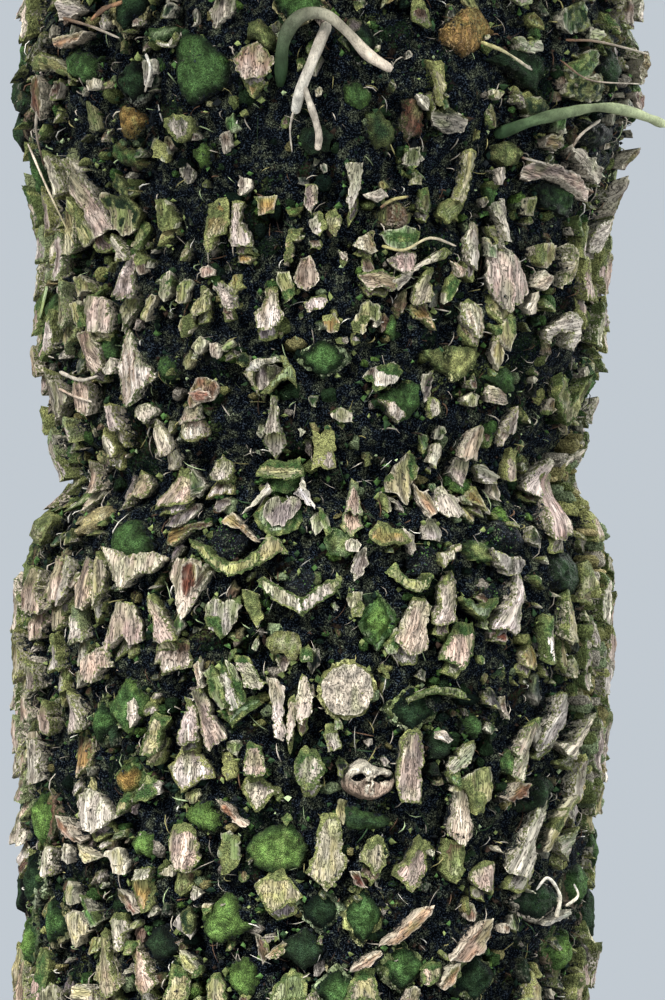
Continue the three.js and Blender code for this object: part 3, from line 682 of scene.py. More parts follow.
# Broken plates by their outline in the photograph: kind, its colour, the stain's and the growth's, how green,
# and the corners, across and down, one after the other
plateMarks = [
    ("leaf", "orangeTan darkBrown olive", 0, "52 817 62 821 70 832 82 838 80 843 66 838 55 829"),
    ("leaf", "rust darkBrown olive", 0, "116 889 126 894 137 912 133 914 121 905"),
    ("leaf", "orangeTan rust olive", 0, "216 800 226 804 238 818 250 824 244 828 232 822 222 812"),
    ("cap", "oliveTan moss moss", 0.7, "255 477 258 466 270 458 286 462 300 457 304 474 290 480 268 478"),
    ("bed", "moss olive moss", 1, "267 487 271 474 289 473 303 474 301 487 289 493 271 493"),
    ("slab", "white greyTan paleGreen", 0.1, "294 493 303 476 308 490 317 511 305 502 298 497"),
    ("slab", "greyTan white paleGreen", 0.2, "244 515 259 494 266 481 271 492 262 498 252 508"),
    ("foot", "paleGreen olive moss", 0.9,
     "250 514 260 497 300 495 311 514 303 524 291 532 283 536 271 535 260 529 253 521"),
    ("slab", "purple greyTan olive", 0,
     "261 509 265 499 274 496 282 503 291 497 299 498 301 507 294 517 283 526 271 524 263 517"),
    ("bed", "moss darkMoss moss", 1,
     "106 531 121 520 129 520 140 531 151 549 146 553 129 557 121 557 114 554 106 546"),
    ("lip", "cream pinkTan olive", 0.1,
     "96 546 106 549 120 557 134 554 151 551 167 557 151 574 140 573 131 580 121 590 111 579 103 559"),
    ("pit", "black charcoal darkMoss", 0.3,
     "208 540 216 526 229 520 243 526 250 540 246 552 232 562 216 556"),
    ("lip", "yellowGreen oliveTan moss", 0.5,
     "187 539 203 546 217 559 229 563 244 559 260 546 259 556 259 566 244 573 230 576 216 571 203 559 191 "
     "547"),
    ("lip", "oliveTan greyTan moss", 0.3, "258 548 267 534 280 540 290 556 280 553 268 560 259 566"),
    ("slab", "orangeTan oliveTan moss", 0.1, "218 522 226 511 233 517 262 541 254 542 236 527 224 524"),
    ("pit", "black darkMoss moss", 0.7, "283 584 290 571 305 568 317 575 324 588 313 598 300 603 288 597"),
    ("lip", "cream oliveTan moss", 0.4, "255 580 263 575 273 583 289 592 301 598 303 615 289 609 271 599"),
    ("lip", "cream oliveTan moss", 0.4, "301 598 314 588 331 578 341 576 341 587 325 600 314 607 303 615"),
    ("cap", "paleTan pinkTan moss", 0,
     "160 573 169 557 183 559 193 557 199 569 201 590 194 604 185 621 180 610 171 590"),
    ("leaf", "rust darkBrown moss", 0, "180 565 190 561 197 566 196 584 189 601 184 597 179 580"),
    ("cap", "pinkTan oliveTan olive", 0.35,
     "174 470 186 469 191 481 196 497 194 504 186 506 169 506 163 510 159 501 163 490 170 479"),
    ("foot", "purple darkBrown olive", 0, "169 505 193 505 191 516 183 528 169 526 166 514"),
    ("foot", "ochre brown olive", 0.2,
     "161 531 169 523 183 525 197 520 207 525 189 531 180 537 173 547 164 543"),
    ("bed", "lichen cream lichen", 0.9,
     "71 517 81 516 86 509 93 506 103 511 106 517 100 523 97 533 87 535 81 531 83 525 74 524"),
    ("cap", "pinkTan brown olive", 0.2,
     "126 483 134 470 143 474 149 487 149 497 140 499 133 494 131 511 129 500 123 496"),
    ("cap", "paleTan oliveTan olive", 0.3, "220 454 230 463 233 471 229 480 211 480 210 474 214 466"),
    ("foot", "paleTan brown oliveTan", 0.3, "211 480 229 480 234 493 217 496 210 499 208 490"),
    ("foot", "purple darkBrown olive", 0.1, "211 499 227 496 230 503 224 511 214 509"),
    ("cap", "paleTan pinkTan olive", 0.3,
     "182 697 194 706 197 720 199 740 194 743 179 746 176 739 179 726 184 711"),
    ("foot", "cream brown yellowGreen", 0.3,
     "179 745 194 741 197 753 211 769 214 777 203 779 183 792 169 774 162 766 174 759"),
    ("cap", "pinkTan purple olive", 0.1,
     "184 693 194 689 201 690 209 700 211 714 221 729 227 737 217 743 211 751 206 746 201 733 197 711"),
    ("foot", "olive brown yellowGreen", 0.8, "219 754 230 752 237 766 237 777 229 781 221 769"),
    ("slab", "olive paleGreen moss", 0.55, "203 673 211 665 221 682 230 705 221 711 210 695"),
    ("cap", "greyTan paleTan moss", 0.3, "226 656 247 656 254 669 260 679 266 683 260 690 244 686 239 671"),
    ("foot", "paleGreen moss moss", 0.8, "219 707 244 700 264 691 261 703 243 717 231 727 219 717"),
    ("cap", "orangeTan paleTan moss", 0, "191 667 197 657 201 673 204 688 200 688"),
    ("cap", "paleTan pinkTan moss", 0,
     "263 678 274 677 283 687 284 701 283 720 287 731 283 741 276 737 273 720 271 701 267 687"),
    ("cap", "paleTan orangeTan olive", 0.2, "289 696 294 693 296 711 294 731 289 745 287 726"),
    ("cap", "paleTan pinkTan olive", 0.1,
     "299 686 301 674 307 676 309 686 313 697 311 714 303 725 297 720 294 700"),
    ("dome", "moss olive brightMoss", 1,
     "103 706 116 693 127 677 134 678 140 687 151 703 140 723 131 737 121 729 110 714"),
    ("slab", "paleTan olive olive", 0.2, "124 706 131 697 134 708 135 718 131 728 127 720"),
    ("cap", "oliveTan paleTan moss", 0.5, "146 726 154 711 166 717 160 731 160 751 154 758 141 756 140 743"),
    ("cap", "paleTan greyTan olive", 0.3, "60 687 69 694 76 703 83 726 83 731 66 735 64 731 66 720 63 703"),
    ("foot", "ochre brown olive", 0.2, "67 736 83 730 89 740 93 751 87 769 76 778 71 766 69 751"),
    ("cap", "cream paleTan olive", 0, "69 799 81 789 97 794 107 806 118 814 106 823 94 833 83 829 75 817"),
    ("cap", "pinkTan purple moss", 0.35, "246 742 260 747 267 769 266 775 256 777 244 775 243 761"),
    ("foot", "paleTan purple olive", 0.4, "244 774 256 776 266 783 283 791 271 798 259 812 247 803 236 789"),
    ("cap", "greyTan olive moss", 0.6, "294 757 303 746 316 750 327 769 321 781 311 791 301 787 294 773"),
    ("cap", "pinkTan paleTan olive", 0.1, "74 663 97 647 107 657 110 666 99 669 93 684 86 681 79 674"),
    ("cap", "pinkTan paleTan olive", 0.25,
     "138 598 147 594 158 607 172 630 178 640 163 643 153 642 152 628 145 612"),
    ("foot", "paleTan brown olive", 0.2, "153 640 178 639 188 642 190 667 177 669 164 675 159 661 150 665"),
    ("slab", "greyTan paleTan moss", 0.5, "129 803 151 775 160 783 159 791 146 801"),
    ("cap", "pinkTan paleTan olive", 0.1,
     "109 603 117 601 129 604 137 625 140 642 128 645 122 635 106 652 102 640 106 622"),
    ("foot", "olive brown olive", 0.5, "122 640 140 642 138 651 130 660 124 652"),
    ("cap", "pinkTan purple olive", 0.1, "76 556 84 560 91 575 92 596 88 610 76 606 70 590 72 570"),
    ("cap", "oliveTan paleTan olive", 0.3, "83 552 90 551 100 560 103 578 103 590 98 610 95 590 90 570"),
    ("cap", "paleTan cream olive", 0.1, "60 556 66 558 70 572 68 600 62 606 56 590"),
    ("slab", "greyTan olive moss", 0.7,
     "204 606 212 596 222 602 238 596 240 606 232 628 222 640 208 628 203 616"),
    ("slab", "oliveTan ochre olive", 0.6, "240 590 248 590 258 596 264 616 258 628 252 618 246 612"),
    ("bed", "olive paleTan yellowGreen", 0.8,
     "264 640 272 633 286 630 300 636 303 648 296 662 284 655 270 653"),
    ("foot", "brown darkBrown olive", 0.1, "274 654 290 656 288 668 281 673 276 664"),
    ("cap", "pinkTan paleTan moss", 0.1,
     "78 298 85 293 92 294 102 298 106 302 111 315 114 328 112 334 98 332 91 331 86 323 82 311"),
    ("slab", "oliveTan brown olive", 0.4, "77 277 86 275 91 286 93 294 83 292 77 297"),
    ("slab", "oliveTan oliveTan moss", 0.7, "71 302 80 302 83 314 85 326 78 328 74 320"),
    ("cap", "pinkTan brown olive", 0.1,
     "72 332 82 328 91 335 98 345 100 360 100 369 94 374 88 371 83 357 77 346"),
    ("bed", "moss darkMoss moss", 1, "100 332 114 334 115 345 115 357 106 360 98 351"),
    ("cap", "cream orangeTan moss", 0.2,
     "116 335 122 328 128 335 135 352 143 363 152 375 154 379 143 382 137 391 131 403 123 408 117 402 112 "
     "383 111 371 114 360 117 348"),
    ("cap", "paleTan cream moss", 0, "102 368 111 357 114 363 112 375 108 375"),
    ("cap", "paleTan greyTan moss", 0.1, "131 408 145 402 154 411 152 415 145 423 135 415"),
    ("cap", "pinkTan purple moss", 0.1, "180 407 198 406 202 419 178 424"),
    ("foot", "cream pinkTan yellowGreen", 0.2,
     "175 429 180 418 202 418 208 426 206 434 197 439 188 441 178 437"),
    ("slab", "orangeTan brown moss", 0,
     "188 388 195 377 206 377 217 382 218 392 212 400 198 404 188 408 185 403"),
    ("leaf", "rust pinkTan moss", 0, "188 394 198 388 209 391 212 397 198 402 189 402"),
    ("slab", "purple darkBrown moss", 0, "252 375 265 366 275 364 284 368 275 379 266 387 258 392 254 383"),
    ("lip", "cream oliveTan olive", 0.2, "243 372 251 362 260 358 275 357 282 362 274 363 264 365 254 372"),
    ("lip", "paleTan oliveTan olive", 0.2, "243 372 254 372 254 383 260 397 254 390 248 380"),
    ("lip", "paleGreen olive olive", 0.6,
     "280 357 288 357 294 372 296 389 288 377 275 387 264 396 260 392 275 379 284 368"),
    ("slab", "cream yellowGreen olive", 0.3, "189 346 198 335 206 340 205 346 198 355"),
    ("slab", "paleTan pinkTan olive", 0.1, "208 344 218 343 222 351 217 360 211 357"),
    ("slab", "olive yellowGreen moss", 0.6, "220 344 232 338 234 345 224 352"),
    ("cap", "paleTan ochre olive", 0.2,
     "263 288 275 285 278 291 277 302 282 314 280 325 268 331 258 328 252 312 260 306 265 297"),
    ("cap", "pinkTan brown olive", 0, "294 275 300 257 309 255 318 271 320 280 309 291 302 290 295 282"),
    ("cap", "paleTan pinkTan olive", 0.3, "302 303 312 297 325 292 329 302 322 309 309 311"),
    ("cap", "oliveTan paleTan olive", 0.3, "194 285 203 285 209 294 208 311 198 317 191 311 192 302 198 295"),
    ("slab", "oliveTan olive moss", 0.6, "174 300 177 285 183 277 192 283 188 292 186 305 178 302"),
    ("slab", "oliveTan yellowGreen olive", 0.6, "177 326 180 317 191 314 194 326 188 335 182 337"),
    ("cap", "paleTan greyTan olive", 0.2,
     "206 280 220 280 229 286 238 298 238 308 229 313 222 302 215 294 208 288"),
    ("slab", "pinkTan rust olive", 0.2, "198 269 206 263 215 269 214 277 203 277"),
    ("slab", "oliveTan olive moss", 0.6, "275 272 288 271 295 283 295 294 285 303 282 291 275 282"),
    ("dome", "moss darkMoss moss", 1, "157 369 161 358 168 354 177 362 178 372 171 379 162 378"),
    ("slab", "olive paleTan moss", 0.5, "158 292 160 280 152 283 166 270 172 280 170 294 164 302"),
    ("slab", "oliveTan brown olive", 0.4, "142 300 150 292 156 296 150 306 148 322 142 318"),
    ("cap", "cream ochre olive", 0.1, "352 246 361 236 377 228 378 252 371 255 361 249"),
    ("cap", "pinkTan greyTan moss", 0.1, "387 260 401 251 419 249 419 262 415 271 401 273 391 266"),
    ("cap", "pinkTan rust moss", 0.3,
     "358 275 368 271 381 268 391 271 399 278 399 286 391 292 381 286 371 291 364 285"),
    ("slab", "greyTan oliveTan olive", 0.4,
     "392 283 401 274 416 266 438 251 450 246 458 251 447 257 428 263 416 272 407 283 398 291"),
    ("cap", "oliveTan paleTan olive", 0.3,
     "416 285 428 268 438 266 436 272 432 283 435 294 430 302 413 305 414 294"),
    ("foot", "ochre brown olive", 0.3, "410 305 430 302 428 311 438 331 430 328 425 320 415 318"),
    ("slab", "olive oliveTan moss", 0.7, "447 286 452 275 458 277 462 282 450 302 444 305"),
    ("cap", "pinkTan oliveTan olive", 0.1, "453 258 462 265 470 268 467 275 458 277 456 266"),
    ("cap", "greyTan pinkTan olive", 0.1, "467 240 473 222 482 224 481 245 479 266 475 272 467 265"),
    ("cap", "pinkTan cream moss", 0,
     "493 255 505 246 515 249 521 257 530 269 535 278 532 291 521 302 507 314 499 305 492 291 488 275"),
    ("slab", "oliveTan pinkTan olive", 0.5, "533 246 558 243 558 255 545 269 536 265"),
    ("slab", "pinkTan greyTan olive", 0.2, "536 286 542 271 550 275 556 278 542 291"),
    ("slab", "greyTan pinkTan olive", 0.1, "527 308 538 292 542 295 536 312 530 314"),
    ("slab", "oliveTan paleTan olive", 0.3,
     "564 243 572 249 576 268 570 283 561 289 567 275 570 265 567 252"),
    ("cap", "cream ochre olive", 0.2,
     "464 302 472 298 482 305 489 312 487 326 482 338 476 338 467 326 464 312"),
    ("slab", "oliveTan pinkTan moss", 0.6,
     "490 323 501 326 512 314 519 315 518 326 516 342 512 351 504 346 495 332"),
    ("cap", "greyTan paleTan olive", 0.1,
     "545 332 561 320 567 311 579 312 586 320 582 338 573 351 565 345 570 331 558 332 548 345"),
    ("bed", "yellowGreen moss olive", 0.8,
     "422 352 438 349 444 357 447 346 461 346 478 346 479 357 475 369 456 382 438 368"),
    ("bed", "moss darkMoss moss", 1, "481 377 490 374 507 368 518 377 516 389 508 392 498 386 490 382"),
    ("cap", "pinkTan paleTan moss", 0.1, "490 383 499 388 515 392 513 403 501 405 490 403 488 392"),
    ("slab", "cream rust moss", 0.6,
     "361 377 367 371 379 366 391 362 405 371 398 380 385 388 376 392 372 383"),
    ("dome", "moss darkMoss moss", 1,
     "368 402 384 391 396 385 412 380 424 382 428 394 425 406 413 417 399 425 390 414 379 408"),
    ("lip", "cream orangeTan olive", 0.2, "378 398 388 400 399 408 407 414 399 423 391 414"),
    ("slab", "cream oliveTan moss", 0.5, "332 411 338 408 352 412 354 422 342 423 333 418"),
    ("slab", "cream yellowGreen olive", 0.5, "464 398 472 391 481 396 478 405 470 407"),
    ("bed", "moss brightMoss brightMoss", 1, "387 323 392 314 398 323 396 335 392 338 387 332"),
    ("slab", "oliveTan olive olive", 0.6,
     "352 322 359 308 368 300 382 306 382 315 378 326 371 318 364 335 355 332"),
    ("slab", "ochre olive yellowGreen", 0.6, "324 316 334 312 340 320 338 331 330 333 323 326"),
    ("slab", "oliveTan purple moss", 0.5,
     "384 482 392 469 407 451 419 466 419 477 410 486 408 497 402 506 395 494 384 492"),
    ("foot", "purple purple olive", 0, "388 494 401 500 401 512 392 503"),
    ("slab", "olive oliveTan olive", 0.7, "382 491 390 494 392 509 384 514 381 502"),
    ("slab", "orangeTan purple olive", 0.2, "416 482 424 490 434 496 432 512 424 518 420 502"),
    ("cap", "cream orangeTan olive", 0.1, "432 443 439 442 444 454 438 468 430 463"),
    ("bed", "moss brightMoss brightMoss", 1, "450 483 461 478 470 480 468 491 461 494 452 492"),
    ("cap", "paleTan cream olive", 0,
     "436 505 444 488 450 486 453 494 464 497 461 505 463 514 458 515 448 518 441 517 436 511"),
    ("foot", "greyTan purple olive", 0, "425 520 444 518 444 532 438 542 425 540"),
    ("cap", "oliveTan ochre yellowGreen", 0.2, "467 497 478 486 488 486 488 498 478 512 473 505"),
    ("cap", "greyTan paleTan olive", 0.1, "476 465 488 463 493 471 505 475 496 484 484 484 478 474"),
    ("cap", "paleTan greyTan olive", 0.1,
     "521 489 527 475 535 466 545 457 552 463 541 477 536 494 533 498 527 495"),
    ("cap", "pinkTan brown olive", 0.2,
     "548 471 558 466 562 477 559 486 556 502 555 517 552 532 545 540 536 540 535 531 541 509 544 488"),
    ("cap", "greyTan paleTan olive", 0.1, "561 468 570 452 579 445 581 449 570 463"),
    ("lip", "ochre olive olive", 0.4, "367 535 379 520 387 522 392 528 401 528 413 541 401 544 379 545"),
    ("bed", "olive paleGreen moss", 0.8, "330 529 339 528 353 532 362 545 358 552 345 557 330 554 322 542"),
    ("slab", "cream pinkTan olive", 0.1, "347 540 358 538 362 545 358 551 350 552 345 546"),
    ("lip", "yellowGreen olive moss", 0.5,
     "385 571 395 563 404 571 410 578 421 582 430 574 435 578 428 589 419 593 407 589 396 582"),
    ("pit", "black darkMoss darkMoss", 0.5,
     "404 555 416 545 435 548 444 560 438 574 428 575 421 578 410 575"),
    ("lip", "cream rust olive", 0.3, "441 552 448 554 459 545 461 548 453 560 444 568 439 563"),
    ("bed", "olive yellowGreen moss", 0.9, "464 543 478 540 490 546 496 557 485 562 472 560"),
    ("lip", "greyTan purple olive", 0.1, "493 548 505 555 519 557 525 563 519 575 507 574 499 563"),
    ("pit", "black darkMoss darkMoss", 0.4, "486 528 500 520 516 524 524 540 518 552 502 550 492 542"),
    ("cap", "paleTan pinkTan olive", 0.3,
     "441 606 442 586 452 574 458 571 461 582 458 602 455 622 441 626 432 623 436 612"),
    ("cap", "pinkTan paleTan olive", 0.1,
     "416 597 425 598 436 608 431 617 428 629 430 640 427 652 408 654 395 640 402 622"),
    ("slab", "olive paleGreen moss", 0.7, "386 645 398 628 402 640 396 655 388 656"),
    ("lip", "paleGreen moss moss", 0.7,
     "459 595 468 598 478 606 488 606 499 598 496 609 487 622 476 614 465 606"),
    ("pit", "black moss moss", 0.8, "478 588 490 585 498 597 488 605 478 603"),
    ("dome", "darkMoss black darkMoss", 1, "545 563 558 554 570 552 582 565 579 582 570 595 558 592 548 578"),
    ("cap", "paleTan greyTan olive", 0.1,
     "521 577 530 574 532 588 525 609 519 628 513 636 505 629 493 629 492 625 502 612 516 597"),
    ("foot", "rust purple olive", 0, "492 630 508 629 506 641 492 642"),
    ("slab", "paleTan oliveTan olive", 0.4, "348 594 353 590 362 592 365 606 361 618 353 617 348 605"),
    ("cap", "pinkTan paleTan moss", 0.5,
     "452 632 461 623 478 623 482 631 481 640 475 655 468 663 461 670 452 663 441 660 448 649"),
    ("cap", "ochre oliveTan yellowGreen", 0.2, "521 655 530 645 542 643 544 655 541 665 535 671 525 666"),
    ("cap", "pinkTan purple olive", 0.3,
     "402 738 407 729 421 728 424 738 425 748 428 762 422 771 422 790 421 803 402 803 399 794 398 771 398 "
     "762 401 751"),
    ("dome", "darkMoss black darkMoss", 1, "425 738 438 728 447 731 455 740 450 754 438 760 428 758"),
    ("slab", "cream orangeTan olive", 0.1, "438 732 445 731 453 740 447 744 438 738"),
    ("cap", "greyTan paleGreen olive", 0.2,
     "462 748 478 740 480 748 473 758 465 768 453 775 450 768 452 757 461 757"),
    ("dome", "moss darkMoss moss", 1, "462 720 467 712 475 714 481 723 479 735 473 738 465 735"),
    ("slab", "oliveTan olive olive", 0.7,
     "451 789 461 777 476 771 485 767 495 770 497 795 489 806 486 814 474 815 470 795 464 788 455 793"),
    ("cap", "paleTan pinkTan olive", 0,
     "458 790 470 789 471 802 472 818 474 826 471 838 464 846 452 836 454 828 458 815"),
    ("foot", "olive brown olive", 0.8,
     "447 838 458 840 468 837 468 852 465 869 456 885 448 877 441 871 444 857"),
    ("cap", "greyTan pinkTan moss", 0.2,
     "522 740 530 725 541 718 547 720 539 732 530 748 528 763 521 780 513 775 519 758 516 751"),
    ("bed", "moss olive moss", 0.9, "503 760 512 750 518 756 512 776 505 772"),
    ("cap", "greyTan purple olive", 0.1,
     "561 691 573 695 570 712 567 725 558 738 545 749 538 748 541 740 552 726 558 709"),
    ("cap", "paleTan greyTan olive", 0.1,
     "558 742 570 740 576 728 592 715 600 715 588 728 582 745 573 760 567 754"),
    ("dome", "darkMoss black darkMoss", 1, "536 778 548 777 561 788 552 800 536 814 515 809 508 803 530 800"),
    ("leaf", "rust orangeTan olive", 0, "505 799 521 783 532 785 528 797 515 801"),
    ("cap", "greyTan cream olive", 0.1,
     "561 795 552 818 541 840 539 858 536 872 528 880 519 874 508 869 510 858 522 843 530 825 542 809 552 "
     "799"),
    ("slab", "oliveTan oliveTan olive", 0.6,
     "574 797 577 800 566 815 558 835 550 850 546 848 551 830 560 812"),
    ("cap", "greyTan paleGreen olive", 0.2, "553 838 568 832 582 828 582 834 575 846 568 861 561 851"),
    ("cap", "oliveTan paleTan olive", 0.5,
     "359 854 368 840 378 835 387 840 389 851 387 865 381 871 375 878 370 866 361 861"),
    ("cap", "pinkTan paleTan olive", 0.55,
     "416 846 422 837 436 845 433 858 431 872 421 886 411 893 404 883 391 874 396 866 407 860"),
    ("cap", "pinkTan paleTan olive", 0.3, "473 878 478 869 490 861 499 866 498 880 491 895 482 888"),
    ("leaf", "orangeTan pinkTan olive", 0, "381 945 395 934 410 921 422 908 438 908 428 918 416 931 399 943"),
    ("leaf", "orangeTan pinkTan olive", 0, "351 971 365 958 382 951 384 955 371 966 356 972"),
    ("leaf", "orangeTan pinkTan olive", 0, "451 960 468 941 484 921 495 920 493 938 484 954 471 961"),
    ("leaf", "orangeTan oliveTan olive", 0, "441 983 450 968 461 964 458 974 451 989 445 991"),
    ("leaf", "rust darkBrown olive", 0, "350 871 359 871 368 888 356 886"),
    ("dome", "darkMoss deepMoss moss", 1, "330 812 345 803 368 812 392 817 396 823 381 828 361 831 339 829"),
    ("cap", "oliveTan greyTan moss", 0.6, "344 1002 350 983 358 969 376 969 378 985 382 1002"),
    ("cap", "pinkTan olive moss", 0.5, "422 969 430 963 444 963 447 969 438 980 428 986 422 982"),
    ("slab", "white cream olive", 0, "544 920 570 912 572 918 545 924"),
    ("dome", "brightMoss moss brightMoss", 1,
     "180 812 194 802 208 802 215 809 226 825 212 831 197 831 183 825"),
    ("cap", "pinkTan purple olive", 0.3,
     "166 828 174 823 189 825 195 843 198 858 192 872 177 872 171 861 165 852"),
    ("foot", "olive brown olive", 0.6, "172 874 180 870 195 871 195 886 183 896 174 891"),
    ("slab", "cream oliveTan olive", 0.2, "158 875 168 865 174 869 172 876"),
    ("slab", "olive moss olive", 0.8, "220 834 228 831 238 837 240 857 237 868 223 876 218 855"),
    ("dome", "brightMoss olive moss", 1,
     "242 849 254 835 272 826 291 822 302 834 312 851 300 869 283 873 265 872 251 866"),
    ("cap", "oliveTan paleTan olive", 0.4,
     "252 883 265 875 268 869 283 869 288 878 303 898 288 905 272 912 263 905 254 892"),
    ("cap", "oliveTan cream olive", 0.3,
     "306 872 315 851 320 815 330 813 341 816 344 835 342 851 350 862 345 874 336 881 328 890 315 880"),
    ("dome", "brightMoss darkMoss brightMoss", 1,
     "198 918 208 909 226 892 238 900 245 920 257 926 238 935 223 942 212 943 202 934"),
    ("dome", "brightMoss moss brightMoss", 1,
     "223 969 234 960 248 958 258 972 262 983 254 997 238 994 223 980"),
    ("dome", "darkMoss deepMoss darkMoss", 1,
     "265 954 283 942 302 928 314 929 328 948 322 962 306 971 291 960"),
    ("slab", "ochre oliveTan olive", 0.3, "264 956 282 941 286 944 284 955 270 960"),
    ("dome", "brightMoss moss brightMoss", 1, "129 845 140 831 154 834 160 851 152 857 140 854"),
    ("slab", "cream lichen olive", 0.1, "102 854 117 846 126 862 125 874 115 872"),
    ("slab", "lichen oliveTan olive", 0.2, "75 843 85 851 98 857 88 862 80 857"),
    ("cap", "greyTan purple olive", 0.2, "131 869 149 868 148 879 132 881"),
    ("foot", "ochre oliveTan olive", 0.5, "129 877 149 874 152 892 151 908 143 911 134 902 126 889"),
    ("slab", "lichen cream lichen", 0.1, "63 918 74 909 80 914 89 931 80 934 74 949 68 937"),
    ("slab", "lichen cream lichen", 0.1, "69 989 88 982 95 994 95 1002 68 1002"),
    ("cap", "paleTan greyTan olive", 0.2, "105 922 112 911 122 914 125 928 122 937 125 948 117 951 111 934"),
    ("cap", "oliveTan pinkTan olive", 0.3,
     "94 935 100 929 108 938 106 954 112 975 122 985 109 998 98 985 89 982 95 966"),
    ("cap", "pinkTan ochre olive", 0.2,
     "125 945 134 940 135 951 145 962 152 977 158 982 145 995 135 985 128 963"),
    ("cap", "oliveTan pinkTan moss", 0.5, "168 965 182 968 188 985 186 1002 160 1002 168 985"),
    ("slab", "oliveTan olive moss", 0.7, "178 952 192 957 200 974 189 972 177 962"),
    ("cap", "oliveTan greyTan moss", 0.4, "208 977 218 971 223 985 227 1002 208 1002 205 988"),
    ("cap", "olive paleGreen moss", 0.5, "269 994 278 982 291 969 300 972 308 985 306 1002 269 1002"),
    ("dome", "darkMoss black deepMoss", 1, "144 944 152 930 164 925 176 934 180 950 166 960 150 958"),
    ("slab", "moss darkMoss moss", 0.9, "77 895 83 898 98 923 92 928 83 911"),
    ("slab", "cream darkBrown darkMoss", 0.6, "171 923 188 906 194 917 192 938 182 934"),
    ("dome", "moss darkMoss darkMoss", 1,
     "171 46 179 32 202 34 214 48 230 66 229 86 205 95 189 107 177 93 171 71"),
    ("cap", "pinkTan orangeTan olive", 0.1, "229 57 238 46 255 41 273 55 271 71 264 78 246 80 241 76"),
    ("foot", "ochre olive olive", 0.6, "242 76 264 76 262 86 254 98 247 90"),
    ("dome", "olive oliveTan olive", 1, "245 20 259 17 277 36 279 46 271 54 255 41 246 39"),
    ("leaf", "orangeTan pinkTan olive", 0, "47 34 91 34 71 43 54 46"),
    ("slab", "greyTan paleTan olive", 0.1, "54 -2 68 -2 82 14 71 20 61 20 55 11"),
    ("dome", "darkMoss brown darkMoss", 1, "2 77 14 68 27 75 27 111 20 118 7 105"),
    ("slab", "oliveTan olive olive", 0.8, "25 59 45 52 62 61 71 82 75 87 54 71 32 66"),
    ("leaf", "rust brown olive", 0, "29 77 36 75 41 86 39 107 36 121 30 107"),
    ("dome", "moss darkMoss moss", 1, "61 54 80 48 95 62 98 79 89 86 80 79 68 75"),
    ("slab", "cream oliveTan olive", 0.1, "86 79 95 79 95 88 88 89"),
    ("dome", "ochre yellowGreen ochre", 1, "114 111 125 104 143 114 143 123 129 141 118 132"),
    ("dome", "moss rust olive", 1, "104 139 114 139 136 150 148 164 140 172 125 166 107 157"),
    ("lip", "cream darkMoss olive", 0.5, "166 116 179 114 193 116 195 129 180 143 171 138 164 125"),
    ("dome", "brightMoss moss brightMoss", 1, "193 150 205 141 213 146 211 164 200 168 193 159"),
    ("slab", "paleTan brown olive", 0.1, "221 134 229 132 232 145 223 152 220 143"),
    ("slab", "white greyTan olive", 0, "143 59 152 59 154 71 148 77 146 89 143 77 139 63"),
    ("bed", "paleGreen moss moss", 0.9, "146 27 177 27 178 34 168 42 155 40 148 33"),
    ("lip", "cream oliveTan olive", 0.2, "155 39 168 43 176 31 175 38 168 48 154 43"),
    ("cap", "pinkTan purple olive", 0,
     "71 172 84 169 89 181 100 205 109 230 104 233 95 239 86 219 79 205 70 192 66 181"),
    ("slab", "cream oliveTan olive", 0.3, "62 162 72 158 84 171 75 178 64 175"),
    ("slab", "oliveTan moss olive", 0.5, "70 196 79 205 86 221 95 239 89 249 77 237 71 217"),
    ("slab", "olive pinkTan darkMoss", 0.7,
     "100 192 114 194 129 199 139 214 136 231 125 237 114 228 105 206"),
    ("cap", "paleTan paleGreen olive", 0.3, "102 233 109 233 116 242 125 249 129 260 120 262 112 249"),
    ("slab", "olive oliveTan olive", 0.7, "154 199 166 199 177 222 175 230 161 230 155 222"),
    ("foot", "oliveTan brown olive", 0.5, "157 228 176 224 178 234 166 240 158 246"),
    ("cap", "oliveTan ochre olive", 0.5, "205 203 225 197 229 222 225 235 214 239 211 253 205 246 204 221"),
    ("cap", "paleTan oliveTan olive", 0.2, "229 199 241 201 239 219 250 235 254 247 232 247 229 237"),
    ("foot", "ochre brown olive", 0.2, "237 251 255 256 250 265 237 262"),
    ("slab", "paleTan brown olive", 0, "239 174 252 180 250 190 241 194 237 185"),
    ("slab", "ochre olive olive", 0.6, "255 196 275 196 273 214 259 215"),
    ("bed", "brightMoss olive yellowGreen", 0.9, "284 208 302 206 300 215 291 217"),
    ("cap", "pinkTan purple olive", 0.1, "304 183 318 185 318 201 311 215 304 205"),
    ("slab", "ochre olive olive", 0.4, "288 228 302 228 300 239 293 240 293 256 284 264"),
    ("bed", "moss olive moss", 0.9, "39 303 54 292 62 321 62 338 43 338"),
    ("dome", "ochre orangeTan ochre", 0.6,
     "436 40 446 22 464 7 478 5 495 20 498 31 485 44 478 50 464 57 454 52 444 47"),
    ("bed", "moss darkMoss darkMoss", 1, "448 31 458 20 474 16 491 27 483 40 471 47 458 38"),
    ("cap", "oliveTan paleTan yellowGreen", 0.4, "426 59 448 61 446 72 447 104 441 106 437 84 431 67"),
    ("dome", "moss brightMoss moss", 1, "340 88 357 80 374 91 372 104 360 110 347 104"),
    ("dome", "brown rust olive", 0.45, "401 101 414 98 424 114 424 135 407 141 399 128"),
    ("dome", "darkMoss moss olive", 0.9, "364 111 380 111 397 128 394 148 377 148 367 135"),
    ("slab", "cream greyTan olive", 0.1, "416 93 427 96 431 108 421 104"),
    ("slab", "greyTan paleGreen paleGreen", 0.4, "516 40 524 35 532 42 541 36 546 44 545 51 532 54 522 51"),
    ("bed", "darkMoss deepMoss darkMoss", 1, "488 61 518 49 545 54 550 71 540 88 528 84 518 71 505 66"),
    ("slab", "oliveTan cream moss", 0.6, "493 88 505 91 501 99 494 98"),
